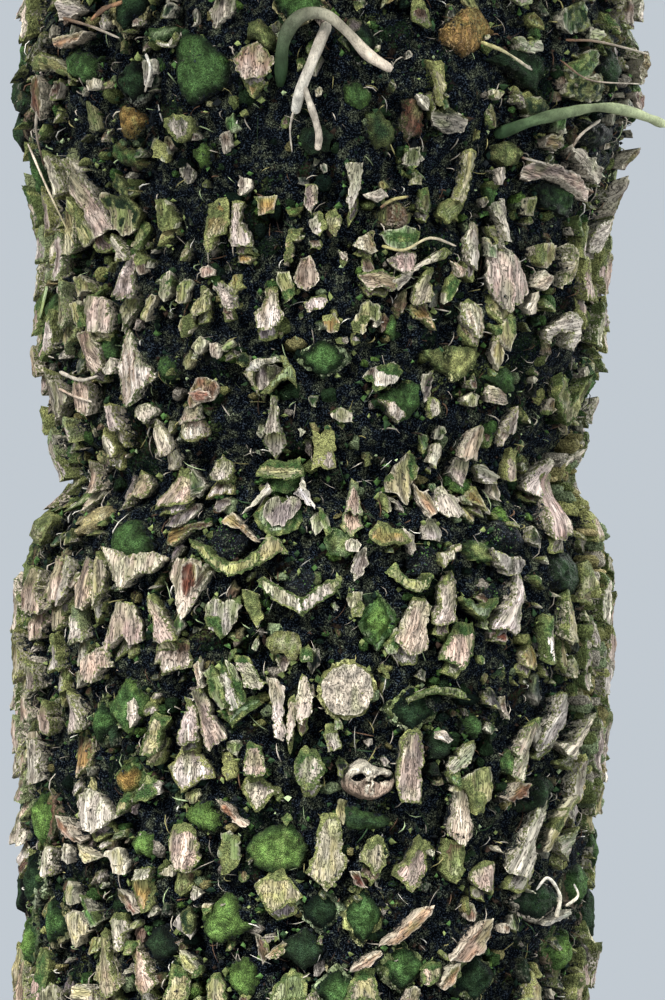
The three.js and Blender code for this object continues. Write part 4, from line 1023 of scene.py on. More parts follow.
    ("slab", "darkMoss moss darkMoss", 0.9, "564 10 585 -2 592 7 584 30 565 36 560 22"),
    ("slab", "olive cream olive", 0.7, "587 28 606 32 599 41 589 40"),
    ("slab", "moss darkMoss moss", 0.9, "572 67 592 48 600 50 596 67 585 81 572 84"),
    ("slab", "olive brown darkMoss", 0.8, "565 86 599 71 610 84 609 98 585 102 565 99"),
    ("leaf", "brown rust olive", 0, "622 98 642 93 664 100 652 110 632 109"),
    ("cap", "brown darkBrown olive", 0.1, "618 -2 632 -2 633 20 622 25"),
    ("cap", "greyTan pinkTan olive", 0, "646 13 657 -2 664 -2 663 17 649 25"),
    ("slab", "brown ochre olive", 0.2, "629 57 652 56 659 77 632 88 626 74"),
    ("dome", "charcoal darkMoss deepMoss", 0.8, "579 124 612 122 620 138 599 149 579 146"),
    ("bed", "olive oliveTan olive", 0.7, "495 145 511 141 524 151 521 163 505 166 494 158"),
    ("cap", "oliveTan paleTan yellowGreen", 0.3,
     "461 151 468 148 476 152 474 165 470 188 464 206 457 200 464 175"),
    ("foot", "olive oliveTan olive", 0.8, "459 193 468 192 464 208 448 223 438 215 444 202"),
    ("cap", "greyTan paleTan olive", 0, "345 161 362 162 362 188 350 213 347 198 350 181"),
    ("slab", "paleTan greyTan olive", 0.2, "364 195 380 187 390 195 377 203"),
    ("dome", "brown olive darkMoss", 0.4, "380 205 401 202 415 215 407 229 380 229 373 215"),
    ("cap", "greyTan purple olive", 0, "493 202 505 199 508 222 513 243 508 241 500 218"),
    ("slab", "paleTan brown olive", 0, "498 168 506 166 507 178 501 184"),
    ("bed", "moss brightMoss moss", 1, "484 188 498 189 491 206 485 202"),
    ("slab", "oliveTan olive olive", 0.6, "527 198 537 197 533 216 527 215"),
    ("slab", "pinkTan purple olive", 0,
     "521 173 530 167 548 167 572 172 590 181 604 189 600 197 580 189 560 181 545 179 530 185 521 182"),
    ("slab", "greyTan paleTan olive", 0, "562 150 575 153 595 162 610 173 606 181 590 173 572 163"),
    ("slab", "brown purple olive", 0, "606 177 615 185 621 202 617 223 606 235 600 230 611 215 609 198"),
    ("bed", "darkMoss moss deepMoss", 1, "532 188 558 184 585 188 572 216 545 209"),
    ("slab", "moss paleGreen moss", 0.6, "380 234 407 224 422 231 417 248 405 250 388 247"),
    ("cap", "greyTan paleTan olive", 0.1, "589 228 609 214 617 232 599 252 585 256"),
    ("slab", "brown rust olive", 0, "619 151 635 152 632 170 619 172"),
    ("slab", "charcoal greyTan deepMoss", 0.4, "430 112 452 108 470 116 468 130 448 134 434 126"),
    ("slab", "olive darkBrown darkMoss", 0.6, "520 100 540 96 552 106 545 118 528 116"),
    ("bed", "deepMoss darkMoss darkMoss", 1, "300 130 318 124 334 134 330 150 310 154 298 144"),
    ("slab", "brown oliveTan olive", 0.3, "544 138 562 134 570 142 560 150 546 148"),
    ("slab", "greyTan olive moss", 0.5, "404 150 418 146 424 158 414 170 404 164"),
    ("cap", "olive brown moss", 0.6, "420 190 430 186 434 202 428 216 420 210"),
    ("cap", "oliveTan brown olive", 0.4, "326 212 336 206 342 220 336 236 327 230"),
    ("cap", "greyTan paleGreen moss", 0.4, "212 663 219 659 230 680 240 706 231 711 222 690"),
    ("slab", "paleGreen olive moss", 0.6, "222 660 234 667 244 687 246 702 240 709 231 685"),
]

# Scales by their place in the photograph: shape, left, right, top, bottom, colour, moss, roll in degrees, lean
stubMarks = [
    ("slab", 47, 70, 373, 431, "greyTan", 0.1, -40, 1.3),
    ("finger", 74, 98, 378, 431, "pinkTan", 0.1, -24, 1.2),
    ("bottle", 23, 45, 346, 395, "pinkTan", 0.1, -6, 1.0),
    ("slab", 23, 57, 511, 550, "olive", 0.8, -10, 0.8),
    ("bottle", 21, 46, 566, 641, "pinkTan", 0.1, -4, 1.0),
    ("bottle", 44, 70, 556, 632, "pinkTan", 0.2, -6, 1.0),
    ("finger", 320, 346, 722, 766, "greyTan", 0.5, 10, 0.6),
    ("slab", 40, 57, 845, 885, "cream", 0.1, -4, 0.9),
    ("finger", 40, 60, 700, 752, "pinkTan", 0.3, -10, 1.2),
    ("finger", 24, 44, 660, 706, "greyTan", 0.2, -8, 1.2),
    ("finger", 590, 612, 655, 715, "greyTan", 0.2, 12, 1.2),
    ("bottle", 574, 600, 560, 610, "oliveTan", 0.6, 14, 1.0),
]

# Mossy leaf bases by their place: left, right, top, bottom, colour, second colour, how proud, rim
domeMarks = [
    (108, 152, 58, 100, "darkMoss", "black", 0.9, "darkMoss"),
    (344, 380, 20, 60, "darkMoss", "black", 0.9, "darkMoss"),
    (581, 603, 365, 399, "moss", "darkMoss", 1.0, "olive"),
    (298, 350, 340, 374, "moss", "darkMoss", 0.9, "paleGreen"),
    (361, 399, 596, 645, "brightMoss", "moss", 0.8, "moss"),
    (84, 112, 700, 742, "moss", "darkMoss", 0.9, "olive"),
    (108, 142, 762, 796, "ochre", "moss", 0.9, "olive"),
    (388, 440, 690, 730, "darkMoss", "deepMoss", 0.9, "olive"),
    (342, 386, 890, 942, "moss", "darkMoss", 1.0, "yellowGreen"),
    (300, 344, 890, 930, "darkMoss", "deepMoss", 1.0, "paleGreen"),
    (380, 428, 946, 990, "moss", "darkMoss", 1.0, "olive"),
    (456, 500, 956, 1000, "darkMoss", "deepMoss", 1.0, "olive"),
    (520, 566, 880, 920, "darkMoss", "deepMoss", 0.9, "cream"),
    (316, 360, 970, 1010, "moss", "darkMoss", 1.0, "paleGreen"),
]

# One torn hollow base, and the round stub cut across that sits on a mossy rim
cup = {"box": (404, 470, 686, 716), "tint": "olive", "face": "darkMoss"}
disc = {"box": (321, 373, 664, 716), "corners": 26, "rim": 0.56, "face": 0.49, "uneven": 0.04}

# Plates lean out towards the sides of the trunk, where they show in outline
jut = {"most": 0.008, "turn": (0.6, 1.2)}

# The foot that shows under many caps, from the cap's own outline, with a dark brown stain over its top that is
# partly painted shade under the cap
footUnder = {"least": 0.012, "size": (0.74, 0.62), "below": 0.78, "moss": 0.45, "lift": -0.001, "step": 0.0025,
             "tints": ["purple", "oliveTan", "brown", "greyTan"]}


def placePlates():
    for i, (kind, colours, moss, outline) in enumerate(plateMarks):
        spot, corners = readOutline(outline, plateKinds[kind]["out"])
        leans = kind in ("cap", "slab")
        lean = jut["most"] * float(smoothStep(abs(spot[0]), *jut["turn"])) if leans else 0.0
        addPlate(plates, spot, corners, kind, colours, moss, i + 901, lean=lean)
        if kind == "cap" and i % 3 and np.ptp(corners[:, 1]) > footUnder["least"]:
            down = corners[:, 1].min() * footUnder["below"]
            foot = (corners - corners.mean(0)) * footUnder["size"] + (0, down)
            tint = footUnder["tints"][i % 4]
            addPlate(grownStubs, spot, foot, "foot", f"{tint} darkBrown olive", footUnder["moss"], i + 2001,
                     lift=footUnder["lift"], step=footUnder["step"])
        keepPlace(spot, np.ptp(corners, axis=0))


def placeDisc():
    spot, size = boxSpot(*disc["box"])
    angle = np.linspace(0, wholeTurn, disc["corners"], endpoint=False)
    uneven = 1 + disc["uneven"] * chance(np.arange(disc["corners"]), 71)
    corners = np.stack((np.cos(angle), np.sin(angle)), -1) * uneven[:, None] * np.array(size)
    addPlate(plates, spot, corners * disc["rim"], "bed", "yellowGreen olive yellowGreen", 0.6, 803)
    addPlate(plates, spot, corners * disc["face"], "disc", "paleTan greyTan yellowGreen", 0.05, 801)
    keepPlace(spot, size)


def placeByPicture():
    placePlates()
    for i, (shape, left, right, top, bottom, tint, moss, roll, lean) in enumerate(stubMarks):
        spot, size = boxSpot(left, right, top, bottom)
        addScale(plates, spot, size, shape, tint, "brown", "olive", moss, math.radians(roll), i + 1,
                 lean=0.005 * lean)
        keepPlace(spot, size)
    for i, (left, right, top, bottom, tint, second, proud, rim) in enumerate(domeMarks):
        spot, size = boxSpot(left, right, top, bottom)
        addBase(leafBases, spot, (size[0] * 1.08, size[1] * 1.1), tint, second, rim, 0.0, i + 300, proud=proud)
        keepPlace(spot, size)
    spot, size = boxSpot(*cup["box"])
    addLip(leafBases, spot, size, cup["tint"], cup["face"], 0.0, 500)
    keepPlace(spot, size)
    placeDisc()
    spot, size = boxSpot(*holes["box"])
    addHoles(leafBases, spot, size, 802)
    keepPlace(spot, size)


placeByPicture()
takenSpots = np.array(taken)
print("placed by the photograph:", len(taken))

# The rest of the armour: flushes of leaf bases and of scales take turns up the trunk
flushes = [
    (0.000, 0.130, "worn"), (0.130, 0.225, "domes"), (0.225, 0.315, "scales"), (0.315, 0.415, "domes"),
    (0.415, 0.500, "scales"), (0.500, 0.610, "domes"), (0.610, 0.742, "scales"), (0.742, 0.790, "cups"),
    (0.790, 0.850, "sparse"), (0.850, 0.897, "cups"), (0.897, 0.998, "scales"), (0.998, 1.100, "domes"),
    (1.100, 1.190, "scales"), (1.190, 1.285, "cups"), (1.285, 1.370, "scales"), (1.370, 1.560, "domes"),
]
growth = {  # rise a leaf, width and height of one
    "domes": (0.00180, 0.043, 0.034), "cups": (0.00195, 0.050, 0.030), "scales": (0.00086, 0.019, 0.042),
    "sparse": (0.00105, 0.015, 0.030), "worn": (0.00150, 0.026, 0.034),
}
armour = {
    "lowest": 0.014, "highest": trunk["height"] + 0.050, "fine": 1.3, "coarse": 3.2, "widest": 0.026,
    "shapes": ["bottle", "house", "wedge", "finger", "bottle", "slab", "diamond"],
    "wood": ["pinkTan", "paleTan", "greyTan", "pinkTan", "oliveTan", "paleTan", "pinkTan", "cream"],
    "low": ["brown", "purple", "oliveTan", "brown"],
    "green": ["olive", "moss", "paleGreen", "yellowGreen"],
    "moss": [("moss", "darkMoss"), ("brightMoss", "moss"), ("darkMoss", "deepMoss"), ("olive", "darkMoss"),
             ("darkMoss", "black"), ("moss", "darkMoss")],
    "lips": [("yellowGreen", "olive"), ("oliveTan", "darkMoss"), ("paleGreen", "moss"), ("cream", "pinkTan")],
    "rims": ["oliveTan", "brown", "paleGreen", "darkMoss"],
}


def wrapped(turn):
    return (turn + math.pi) % wholeTurn - math.pi


def isFree(turn, along, width, height, closeness=0.80):
    across = wrapped(turn - takenSpots[:, 0]) * float(trunkRadius(min(along, trunk["height"])))
    aside = across / (takenSpots[:, 2] + width / 2)
    above = (along - takenSpots[:, 1]) / (takenSpots[:, 3] + height / 2)
    return bool((aside ** 2 + above ** 2).min() > closeness ** 2)


def inView(turn, along):
    return abs(wrapped(turn)) < 1.75 and 0.44 < along < 1.17


def growOne(i, kind, turn, along, width, height):
    fine = inView(turn, along)
    seed = 1000 + i
    roll = math.radians(18 * (chance(i, 25) - 0.5))
    pick = chance(i, 26)
    step = plate["step"] * armour["fine" if fine else "coarse"]
    bases = leafBases if fine else farBases
    if kind in ("scales", "sparse", "worn") or pick > 0.86:
        addScale(grownStubs if fine else farStubs, (turn, along), (min(width, armour["widest"]), height),
                 choose(armour["shapes"], i, 27), choose(armour["wood"], i, 28), choose(armour["low"], i, 30),
                 choose(armour["green"], i, 32), chance(i, 29) ** 1.3 * 0.9, roll, seed, step,
                 mix(0.0, 0.009, chance(i, 31)))
    elif kind == "cups" and pick < 0.62:
        addLip(bases, (turn, along), (width, height), *choose(armour["lips"], i, 28), roll, seed, step)
    else:
        addBase(bases, (turn, along), (width, height), *choose(armour["moss"], i, 28),
                choose(armour["rims"], i, 32), roll, seed, step * 1.15, mix(0.8, 1.2, chance(i, 31)))


def growArmour():
    along, i, filled = armour["lowest"], 0, []
    while along < armour["highest"]:
        kind = next(name for low, high, name in flushes if along < high)
        rise, width, height = growth[kind]
        along += rise
        i += 1
        turn = (i * trunk["goldenAngle"] + 0.10 * (chance(i, 21) - 0.5)) % wholeTurn
        width *= mix(0.80, 1.20, chance(i, 23))
        height *= mix(0.80, 1.25, chance(i, 24))
        place = max(along + 0.010 * (chance(i, 22) - 0.5), height / 2 + 0.002)
        if isFree(turn, place, width, height):
            growOne(i, kind, turn, place, width, height)
            if along < trunk["height"]:
                filled.append((turn, place, width / 2, height / 2))
    return filled


armourSpots = growArmour()
takenSpots = np.concatenate((takenSpots, np.array(armourSpots)))
seenSpots = takenSpots[(np.abs(wrapped(takenSpots[:, 0])) < seen["turn"]) & (takenSpots[:, 1] > 0.46)
                       & (takenSpots[:, 1] < 1.15)]
print("armour grown:", len(armourSpots))

# The core between the leaf bases: black fibre and litter, finer where it is seen close
core = {"nearStep": 0.0039, "farStep": 0.0095, "nearTurn": 1.65, "near": (0.46, 1.14), "radius": 0.18,
        "lumps": 0.0150, "fibres": 0.0120, "grains": 0.0042}


def stopsBetween(low, high, near, dense, coarse):
    # places from low to high, close together inside the near range
    stops = [low]
    while stops[-1] < high:
        stops.append(stops[-1] + (dense if near[0] < stops[-1] < near[1] else coarse))
    stops = np.array(stops)
    return low + (stops - low) * (high - low) / (stops[-1] - low)


def growCore():
    steps = core["nearStep"], core["farStep"]
    turns = stopsBetween(-math.pi, math.pi, (-core["nearTurn"], core["nearTurn"]),
                         *(step / core["radius"] for step in steps))[:-1]
    alongs = stopsBetween(0, trunk["height"] + trunk["domeArc"] * 0.97, core["near"], *steps)
    turn, along = np.meshgrid(turns, alongs)
    place = skin(turn, along, 0.0)
    lump = softNoise(place, 0.015, 1) - 0.5
    fibre = np.abs(softNoise(place * (1, 1, 0.5), 0.0075, 2) - 0.5) - 0.2
    grain = softNoise(place, 0.0034, 3) - 0.5
    near = smoothStep(along, 0, 0.012)
    out = (lump * core["lumps"] - fibre * core["fibres"] + grain * core["grains"]) * near - 0.001 * near
    points, faces = closeLoft(skin(turn, along, out))
    fleck = softNoise(place, 0.0040, 7)
    drift = softNoise(place, 0.026, 8) * 0.55 + fleck * 0.30 + (lump + 0.5) * 0.15
    green = smoothStep(drift, 0.54, 0.70)
    brown = smoothStep(softNoise(place, 0.011, 9) * 0.5 + fleck * 0.5, 0.60, 0.72)
    leafy = tinted(paint["deepMoss"], paint["darkMoss"] * 0.9, smoothStep(fleck, 0.40, 0.70))
    leafy = tinted(leafy, paint["olive"] * 0.7, smoothStep(softNoise(place, 0.009, 10), 0.62, 0.76) * 0.8)
    black = tinted(paint["black"], paint["darkBrown"] * 0.7, brown)
    tint, growth = (np.concatenate((layer.reshape(-1, 3), np.zeros((2, 3)))) for layer in (black, leafy))
    moss, grimeAndShade = (np.concatenate((mask.ravel(), (0, 0)))
                   for mask in (0.05 + 0.48 * green, 0.92 - 0.50 * green - 0.25 * brown))
    coreHeap.add(points, faces, tint, moss, growth, grimeAndShade)


growCore()


def scatter(draw, count, heights=None):
    # random places on the bark in the picture, or over those heights on the rest of the trunk
    if heights is None:
        return draw.uniform(-seen["turn"], seen["turn"], count), draw.uniform(seen["low"], seen["high"], count)
    return draw.uniform(*unseenTurn, count), draw.uniform(*heights, count)


def scatterRound(draw, count, ring):
    # random places round the feet of the stubs and leaf bases in the picture
    spots = seenSpots[draw.integers(0, len(seenSpots), count)]
    angle = draw.uniform(0, wholeTurn, count)
    ring = draw.uniform(*ring, count)
    across, up = np.cos(angle) * spots[:, 2] * ring, np.sin(angle) * spots[:, 3] * ring
    return spots[:, 0] + across / seen["radius"], spots[:, 1] + up


# Hairs: fibres over the black parts, most of them where they can be made out
hair = {"near": 3200, "far": 260, "farHeights": (0.05, 1.45), "steps": 4, "thick": 0.00034,
        "taper": (0.7, 1, 0.9, 0.4), "length": (0.004, 0.020),
        "tints": ["charcoal", "black", "darkBrown", "greyTan", "charcoal", "paleGreen", "brown", "greyTan",
                  "oliveTan", "darkMoss", "white", "greyTan"]}


def growHairs(draw, count, heights=None):
    turn, along = scatter(draw, count, heights)
    length = draw.uniform(*hair["length"], count) * draw.uniform(0.5, 1, count)
    lean = draw.normal(0, 1.1, count)
    curl = draw.normal(0, 0.6, count)
    walk = np.linspace(0, 1, hair["steps"])[None, :]
    heading = lean[:, None] + curl[:, None] * walk
    step = length[:, None] / (hair["steps"] - 1)
    across = np.cumsum(np.sin(heading) * step, 1)
    up = np.cumsum(np.cos(heading) * step, 1) * draw.choice((-1, 1), count)[:, None]
    lift = draw.uniform(0.001, 0.006, count)[:, None] * (0.35 + np.sin(math.pi * walk))
    lift = lift + draw.uniform(-0.001, 0.002, (count, 1))
    thick = hair["thick"] * draw.uniform(0.7, 1.7, count)[:, None] * np.array(hair["taper"])[None, :]
    tints = paintsOf(hair["tints"], draw.integers(0, len(hair["tints"]), count))
    tints = tints * draw.uniform(0.30, 1.0, count)[:, None]
    rings = []
    for corner in np.array((0, 2, 4)) * math.pi / 3:
        a = across + np.cos(heading) * thick * math.cos(corner)
        u = up - np.sin(heading) * thick * math.cos(corner)
        rings.append(skin(turn[:, None] + a / trunkRadius(along)[:, None], along[:, None] + u,
                          lift + thick * math.sin(corner)))
    addMany(hairs, np.stack(rings, 2), tints)


growHairs(np.random.default_rng(11), hair["near"])
growHairs(np.random.default_rng(12), hair["far"], hair["farHeights"])

# Crumbs: granules of moss, lichen and soil, thickest round the feet of the stubs and leaf bases
crumb = {
    "loose": 3000, "feet": 4000, "far": 900, "farHeights": (0.03, 1.5), "pit": 230, "pitReach": 0.47,
    "soil": ["charcoal", "black", "deepMoss", "darkMoss", "charcoal", "darkBrown", "black", "deepMoss",
             "darkMoss", "paleGreen", "darkBrown", "charcoal"],
    "mossy": ["deepMoss", "darkMoss", "moss", "olive", "charcoal", "darkMoss", "darkBrown", "black", "olive",
              "moss", "deepMoss", "darkMoss"],
    "black": ["black", "charcoal", "black", "deepMoss", "black", "charcoal", "moss"],
}
crumbShape = np.array([(1, 0, 0), (0, 1, 0), (-1, 0, 0), (0, -1, 0), (0, 0, 1), (0, 0, -1)], float)
crumbFaces = np.array([(0, 1, 4), (1, 2, 4), (2, 3, 4), (3, 0, 4), (1, 0, 5), (2, 1, 5), (3, 2, 5), (0, 3, 5)])


def dropCrumbs(turn, along, out, size, tintNames, draw):
    count = len(turn)
    size = np.broadcast_to(size, count)[:, None, None]
    shape = crumbShape[None] * size * draw.uniform(0.6, 1.5, (count, 6, 1))
    shape += draw.normal(0, 0.25, (count, 6, 3)) * size
    tints = paintsOf(tintNames, draw.integers(0, len(tintNames), count)) * draw.uniform(0.4, 1.1, (count, 1))
    points = (skin(turn, along, out)[:, None] + shape).reshape(-1, 3)
    points[:, 2] = np.maximum(points[:, 2], 0.0005)
    faces = (crumbFaces[None] + np.arange(count)[:, None, None] * 6).reshape(-1, 3)
    crumbs.add(points, (np.zeros((0, 4), int), faces), np.repeat(tints, 6, 0), 0.6)


def growCrumbs(draw):
    count = crumb["loose"]
    dropCrumbs(*scatter(draw, count), draw.uniform(-0.001, 0.005, count),
               draw.uniform(0.0007, 0.0021, count) * draw.uniform(0.5, 1, count), crumb["soil"], draw)
    count = crumb["feet"]
    dropCrumbs(*scatterRound(draw, count, (0.80, 1.30)), draw.uniform(0.000, 0.006, count),
               draw.uniform(0.0007, 0.0022, count), crumb["mossy"], draw)
    count = crumb["far"]
    dropCrumbs(*scatter(draw, count, crumb["farHeights"]), draw.uniform(-0.001, 0.004, count),
               draw.uniform(0.002, 0.005, count), crumb["soil"], draw)


def fillPits(draw):
    # black granules heaped in the hollows
    for kind, colours, moss, outline in plateMarks:
        if kind != "pit":
            continue
        spot, corners = readOutline(outline, 0.004)
        angle, reach = draw.uniform(0, wholeTurn, crumb["pit"]), np.sqrt(draw.uniform(0, 1, crumb["pit"]))
        across, up = np.stack((np.cos(angle), np.sin(angle))) * reach * (np.ptp(corners, axis=0)[:, None]
                                                                         * crumb["pitReach"])
        dropCrumbs(spot[0] + across / seen["radius"], spot[1] + up, 0.0035 + 0.0038 * np.sqrt(1 - reach ** 2),
                   0.0006, crumb["black" if "black" in colours else "soil"], draw)


growCrumbs(np.random.default_rng(21))
fillPits(np.random.default_rng(23))

# Tufts: small ragged clumps of moss and lichen, between the stubs and over their feet
tuft = {
    "near": 950, "far": 240, "farHeights": (0.03, 1.46), "around": 8, "radius": (0.0016, 0.0050),
    "farRadius": (0.004, 0.009), "proud": (0.3, 0.9),
    "profile": [(1.1, -0.5), (1.0, 0.15), (0.74, 0.55), (0.45, 0.85), (0.16, 1.0)],  # reach and rise of a ring
    "tints": ["olive", "moss", "yellowGreen", "darkMoss", "darkMoss", "olive", "paleGreen", "deepMoss",
              "brightMoss", "oliveTan", "deepMoss", "moss", "darkMoss", "greyTan"],
}
# Pale lichen that shows against the light on the right-hand side, put only there: partly lichen and partly a
# painted highlight where the back light catches the edge
fringe = {"count": 150, "turn": (1.10, 1.55), "along": (0.60, 0.84), "radius": (0.0022, 0.0052), "lift": 0.009,
          "tints": ["yellowGreen", "paleGreen", "lichen", "olive", "oliveTan", "cream", "paleGreen"]}


def growTufts(turn, along, radius, draw, tints=tuft["tints"], lift=0.0):
    count = len(turn)
    angle = np.linspace(0, wholeTurn, tuft["around"], endpoint=False)
    share, rise = np.array(tuft["profile"]).T[:, :, None]
    ragged = draw.uniform(0.62, 1.38, (count, len(share), tuft["around"]))
    reach = radius[:, None, None] * share * ragged
    wide = draw.uniform(0.8, 1.5, (count, 1, 1))
    across, up = np.cos(angle) * reach * wide, np.sin(angle) * reach / wide ** 0.5
    proud = radius[:, None, None] * draw.uniform(*tuft["proud"], (count, 1, 1))
    out = 0.001 + proud * rise * draw.uniform(0.7, 1.3, ragged.shape) + draw.uniform(0, 0.004, (count, 1, 1))
    out = out + lift
    out[:, 0] = plate["sunk"]
    rings = skin(turn[:, None, None] + across / trunkRadius(along)[:, None, None],
                 along[:, None, None] + up, out)
    growth = paintsOf(tints, draw.integers(0, len(tints), count)) * draw.uniform(0.55, 1.15, (count, 1))
    addMany(tufts, rings, growth * 0.6, 0.95, growth, draw.uniform(0.05, 0.35, count))


def coverWithTufts(draw):
    count = tuft["near"] * 2 // 3
    growTufts(*scatterRound(draw, count, (0.85, 1.35)),
              draw.uniform(*tuft["radius"], count) * draw.uniform(0.6, 1, count), draw)
    count = tuft["near"] // 3
    growTufts(*scatter(draw, count), draw.uniform(*tuft["radius"], count), draw)
    count = tuft["far"]
    growTufts(*scatter(draw, count, tuft["farHeights"]), draw.uniform(*tuft["farRadius"], count), draw)
    turn, along, radius = (draw.uniform(*fringe[key], fringe["count"]) for key in ("turn", "along", "radius"))
    growTufts(turn, along, radius, draw, fringe["tints"], fringe["lift"])


coverWithTufts(np.random.default_rng(61))
print("hairs, crumbs and tufts grown")

# Bits: small broken pieces of wood and moss wedged between the stubs
bit = {
    "near": 1000, "far": 300,
    "nearPlace": ((-1.5, 1.5), (0.475, 1.135)), "farPlace": (unseenTurn, (0.03, 1.47)),
    "size": (0.0022, 0.0062), "tall": (0.8, 2.3), "step": 0.0021, "closeness": 0.52,
    "kinds": ["slab", "cap", "bed", "foot", "bed"],
    "colours": ["oliveTan brown moss", "greyTan brown olive", "moss darkMoss moss",
                "darkMoss deepMoss darkMoss", "olive darkMoss moss", "brown darkBrown olive",
                "brown darkBrown moss", "purple darkBrown olive", "olive ochre yellowGreen",
                "darkMoss black deepMoss", "oliveTan moss moss", "charcoal black darkMoss",
                "deepMoss black darkMoss"],
}


def growBits():
    for i in range(bit["near"] + bit["far"]):
        near = i < bit["near"]
        seed = 5000 + i
        turns, heights = bit["nearPlace" if near else "farPlace"]
        turn, along = mix(*turns, chance(seed, 41)), mix(*heights, chance(seed, 42))
        reach = mix(*bit["size"], chance(seed, 43) ** 1.6) * (1 if near else 1.5)
        tall = mix(*bit["tall"], chance(seed, 44) ** 1.5)
        if not isFree(turn, along, reach * 2, reach * 2 * tall, bit["closeness"]):
            continue
        count = 6 + int(chance(seed, 45) * 3.99)
        angle = wholeTurn * (np.arange(count) + 0.5 * chance(seed + np.arange(count), 46)) / count
        far = reach * mix(0.50, 1.15, chance(seed + np.arange(count), 47))
        corners = np.stack((np.cos(angle) * far, np.sin(angle) * far * tall), -1)
        corners = turned(corners, mix(-0.6, 0.6, chance(seed, 48)))
        kind, colours = choose(bit["kinds"], seed, 49), choose(bit["colours"], seed, 50)
        addPlate(chips, (turn, along), corners, kind, colours, chance(seed, 51), seed,
                 mix(-0.0065, 0.0005, chance(seed, 52)), bit["step"] * (1 if near else 1.6))


growBits()

# Papery strips between the lower leaf bases: path in the photograph, width, colours
flakeMarks = [
    ([(91, 20), (106, 10), (123, 2)], 0.00434, "brown", "orangeTan"),
    ([(520, 158), (552, 168), (596, 192)], 0.00248, "greyTan", "brown"),
    ([(380, 208), (392, 200), (410, 196)], 0.00248, "oliveTan", "brown"),
    ([(590, 300), (606, 314), (616, 340)], 0.00372, "greyTan", "brown"),
    ([(36, 250), (44, 280), (42, 318)], 0.00434, "paleGreen", "olive"),
]
flake = {"round": 70, "slant": 0.020 / 0.19, "rise": 0.011, "heights": (0.03, 1.44), "width": (0.002, 0.005),
         "tints": ["brown", "darkBrown", "brown", "oliveTan"],
         "seconds": ["rust", "brown", "darkBrown", "greyTan"]}


def placeFlakes():
    for i, (path, width, tint, second) in enumerate(flakeMarks):
        line = []
        for k, (px, py) in enumerate(path):
            turn, along, scale = surfaceAt(px, py)
            line.append(skin(turn, along, 0.0095 + 0.003 * math.sin(k * 1.4 + i)))
        addFlake(flakes, line, width, tint, second, i, curl=0.2 + 0.5 * chance(i, 41))


def growFlakes():
    # others like them all round
    bands = {kind: [band for band in flushes if band[2] == kind] for kind in ("domes", "cups")}
    for i in range(flake["round"]):
        band = bands["domes"][i % 5] if i % 3 else bands["cups"][i % 3]
        low, high = max(band[0], flake["heights"][0]), min(band[1], flake["heights"][1])
        turn, along = wholeTurn * float(chance(i, 42)), mix(low, high, float(chance(i, 43)))
        if inView(turn, along):
            continue
        slant = (1 if chance(i, 44) > 0.5 else -1) * flake["slant"]
        line = [skin(turn + k * slant, along + k * flake["rise"], 0.0085 + 0.002 * (k == 0))
                for k in (-0.7, 0, 0.7)]
        addFlake(flakes, line, mix(*flake["width"], float(chance(i, 45))), flake["tints"][i % 4],
                 flake["seconds"][i % 4], i + 60, 5, float(chance(i, 46)) * 0.6)


placeFlakes()
growFlakes()

# Aerial roots, by the same measures as the solid ones: across, height, out over the armour, in millimetres
rootMeasures = {
    "arch": {"radius": 3.6, "taper": (1.15, 0.8), "colours": ("darkMoss", "paleTan"),
             "path": [(-1, 1045, -4), (3, 1070, 7), (13, 1083, 13), (27, 1084, 16), (40, 1073, 18),
                      (51, 1060, 20), (64, 1051, 22)]},
    "hanging": {"radius": 2.9, "taper": (1.15, 0.9), "colours": ("greyTan", "white"),
                "path": [(29, 1081, 3), (20, 1058, 8), (13, 1041, 8), (9, 1029, 1)]},
    "side": {"radius": 3.4, "taper": (1.0, 0.9), "colours": ("darkMoss", "rootGreen"),
             "path": [(136, 1020, -4), (151, 1028, 8), (167, 1034, 16), (184, 1039, 22), (201, 1039, 26),
                      (221, 1037, 30)]},
    "thin": {"radius": 2.0, "taper": (1.0, 1.2), "colours": ("greyTan", "paleTan"),
             "path": [(14, 1046, 10), (23, 1019, 8), (23, 1007, 6)]},
}

# Finer roots, twigs and straws: path in the photograph with how far out it is, radius, and two colours.
# How far out and the radius are in millimetres
twigMarks = [
    ([(293, 112, 12), (290, 130, 10), (292, 152, 8)], 0.9, "greyTan", "greyTan"),
    ([(62, 18, 12), (90, 26, 18), (119, 38, 16)], 1.5, "brown", "greyTan"),
    ([(146, 54, 10), (150, 70, 14), (145, 92, 12)], 1.4, "white", "greyTan"),
    ([(481, 42, 10), (505, 52, 16), (532, 70, 14)], 1.6, "oliveTan", "greyTan"),
    ([(566, 40, 10), (600, 42, 20), (648, 54, 26)], 1.3, "brown", "greyTan"),
    ([(28, 144, 14), (48, 190, 22), (74, 244, 16)], 1.0, "paleTan", "oliveTan"),
    ([(40, 96, 12), (36, 130, 14), (44, 166, 10)], 1.4, "greyTan", "brown"),
    ([(470, 152, 10), (468, 176, 14), (458, 200, 12)], 1.6, "oliveTan", "greyTan"),
    ([(560, 60, 10), (590, 80, 16), (640, 84, 18)], 0.9, "brown", "greyTan"),
    ([(600, 120, 12), (580, 136, 14), (566, 160, 10)], 1.4, "greyTan", "brown"),
    ([(382, 246, 12), (404, 250, 18), (430, 238, 18), (456, 246, 12)], 1.5, "oliveTan", "paleTan"),
    ([(60, 372, 12), (80, 380, 16), (98, 376, 12)], 1.8, "greyTan", "greyTan"),
    ([(50, 384, 12), (74, 396, 16), (92, 402, 12)], 1.4, "pinkTan", "greyTan"),
    ([(556, 918, 12), (560, 896, 16), (548, 878, 16), (536, 890, 12)], 1.8, "cream", "white"),
    ([(566, 906, 12), (578, 896, 16), (574, 884, 14)], 1.4, "cream", "white"),
]


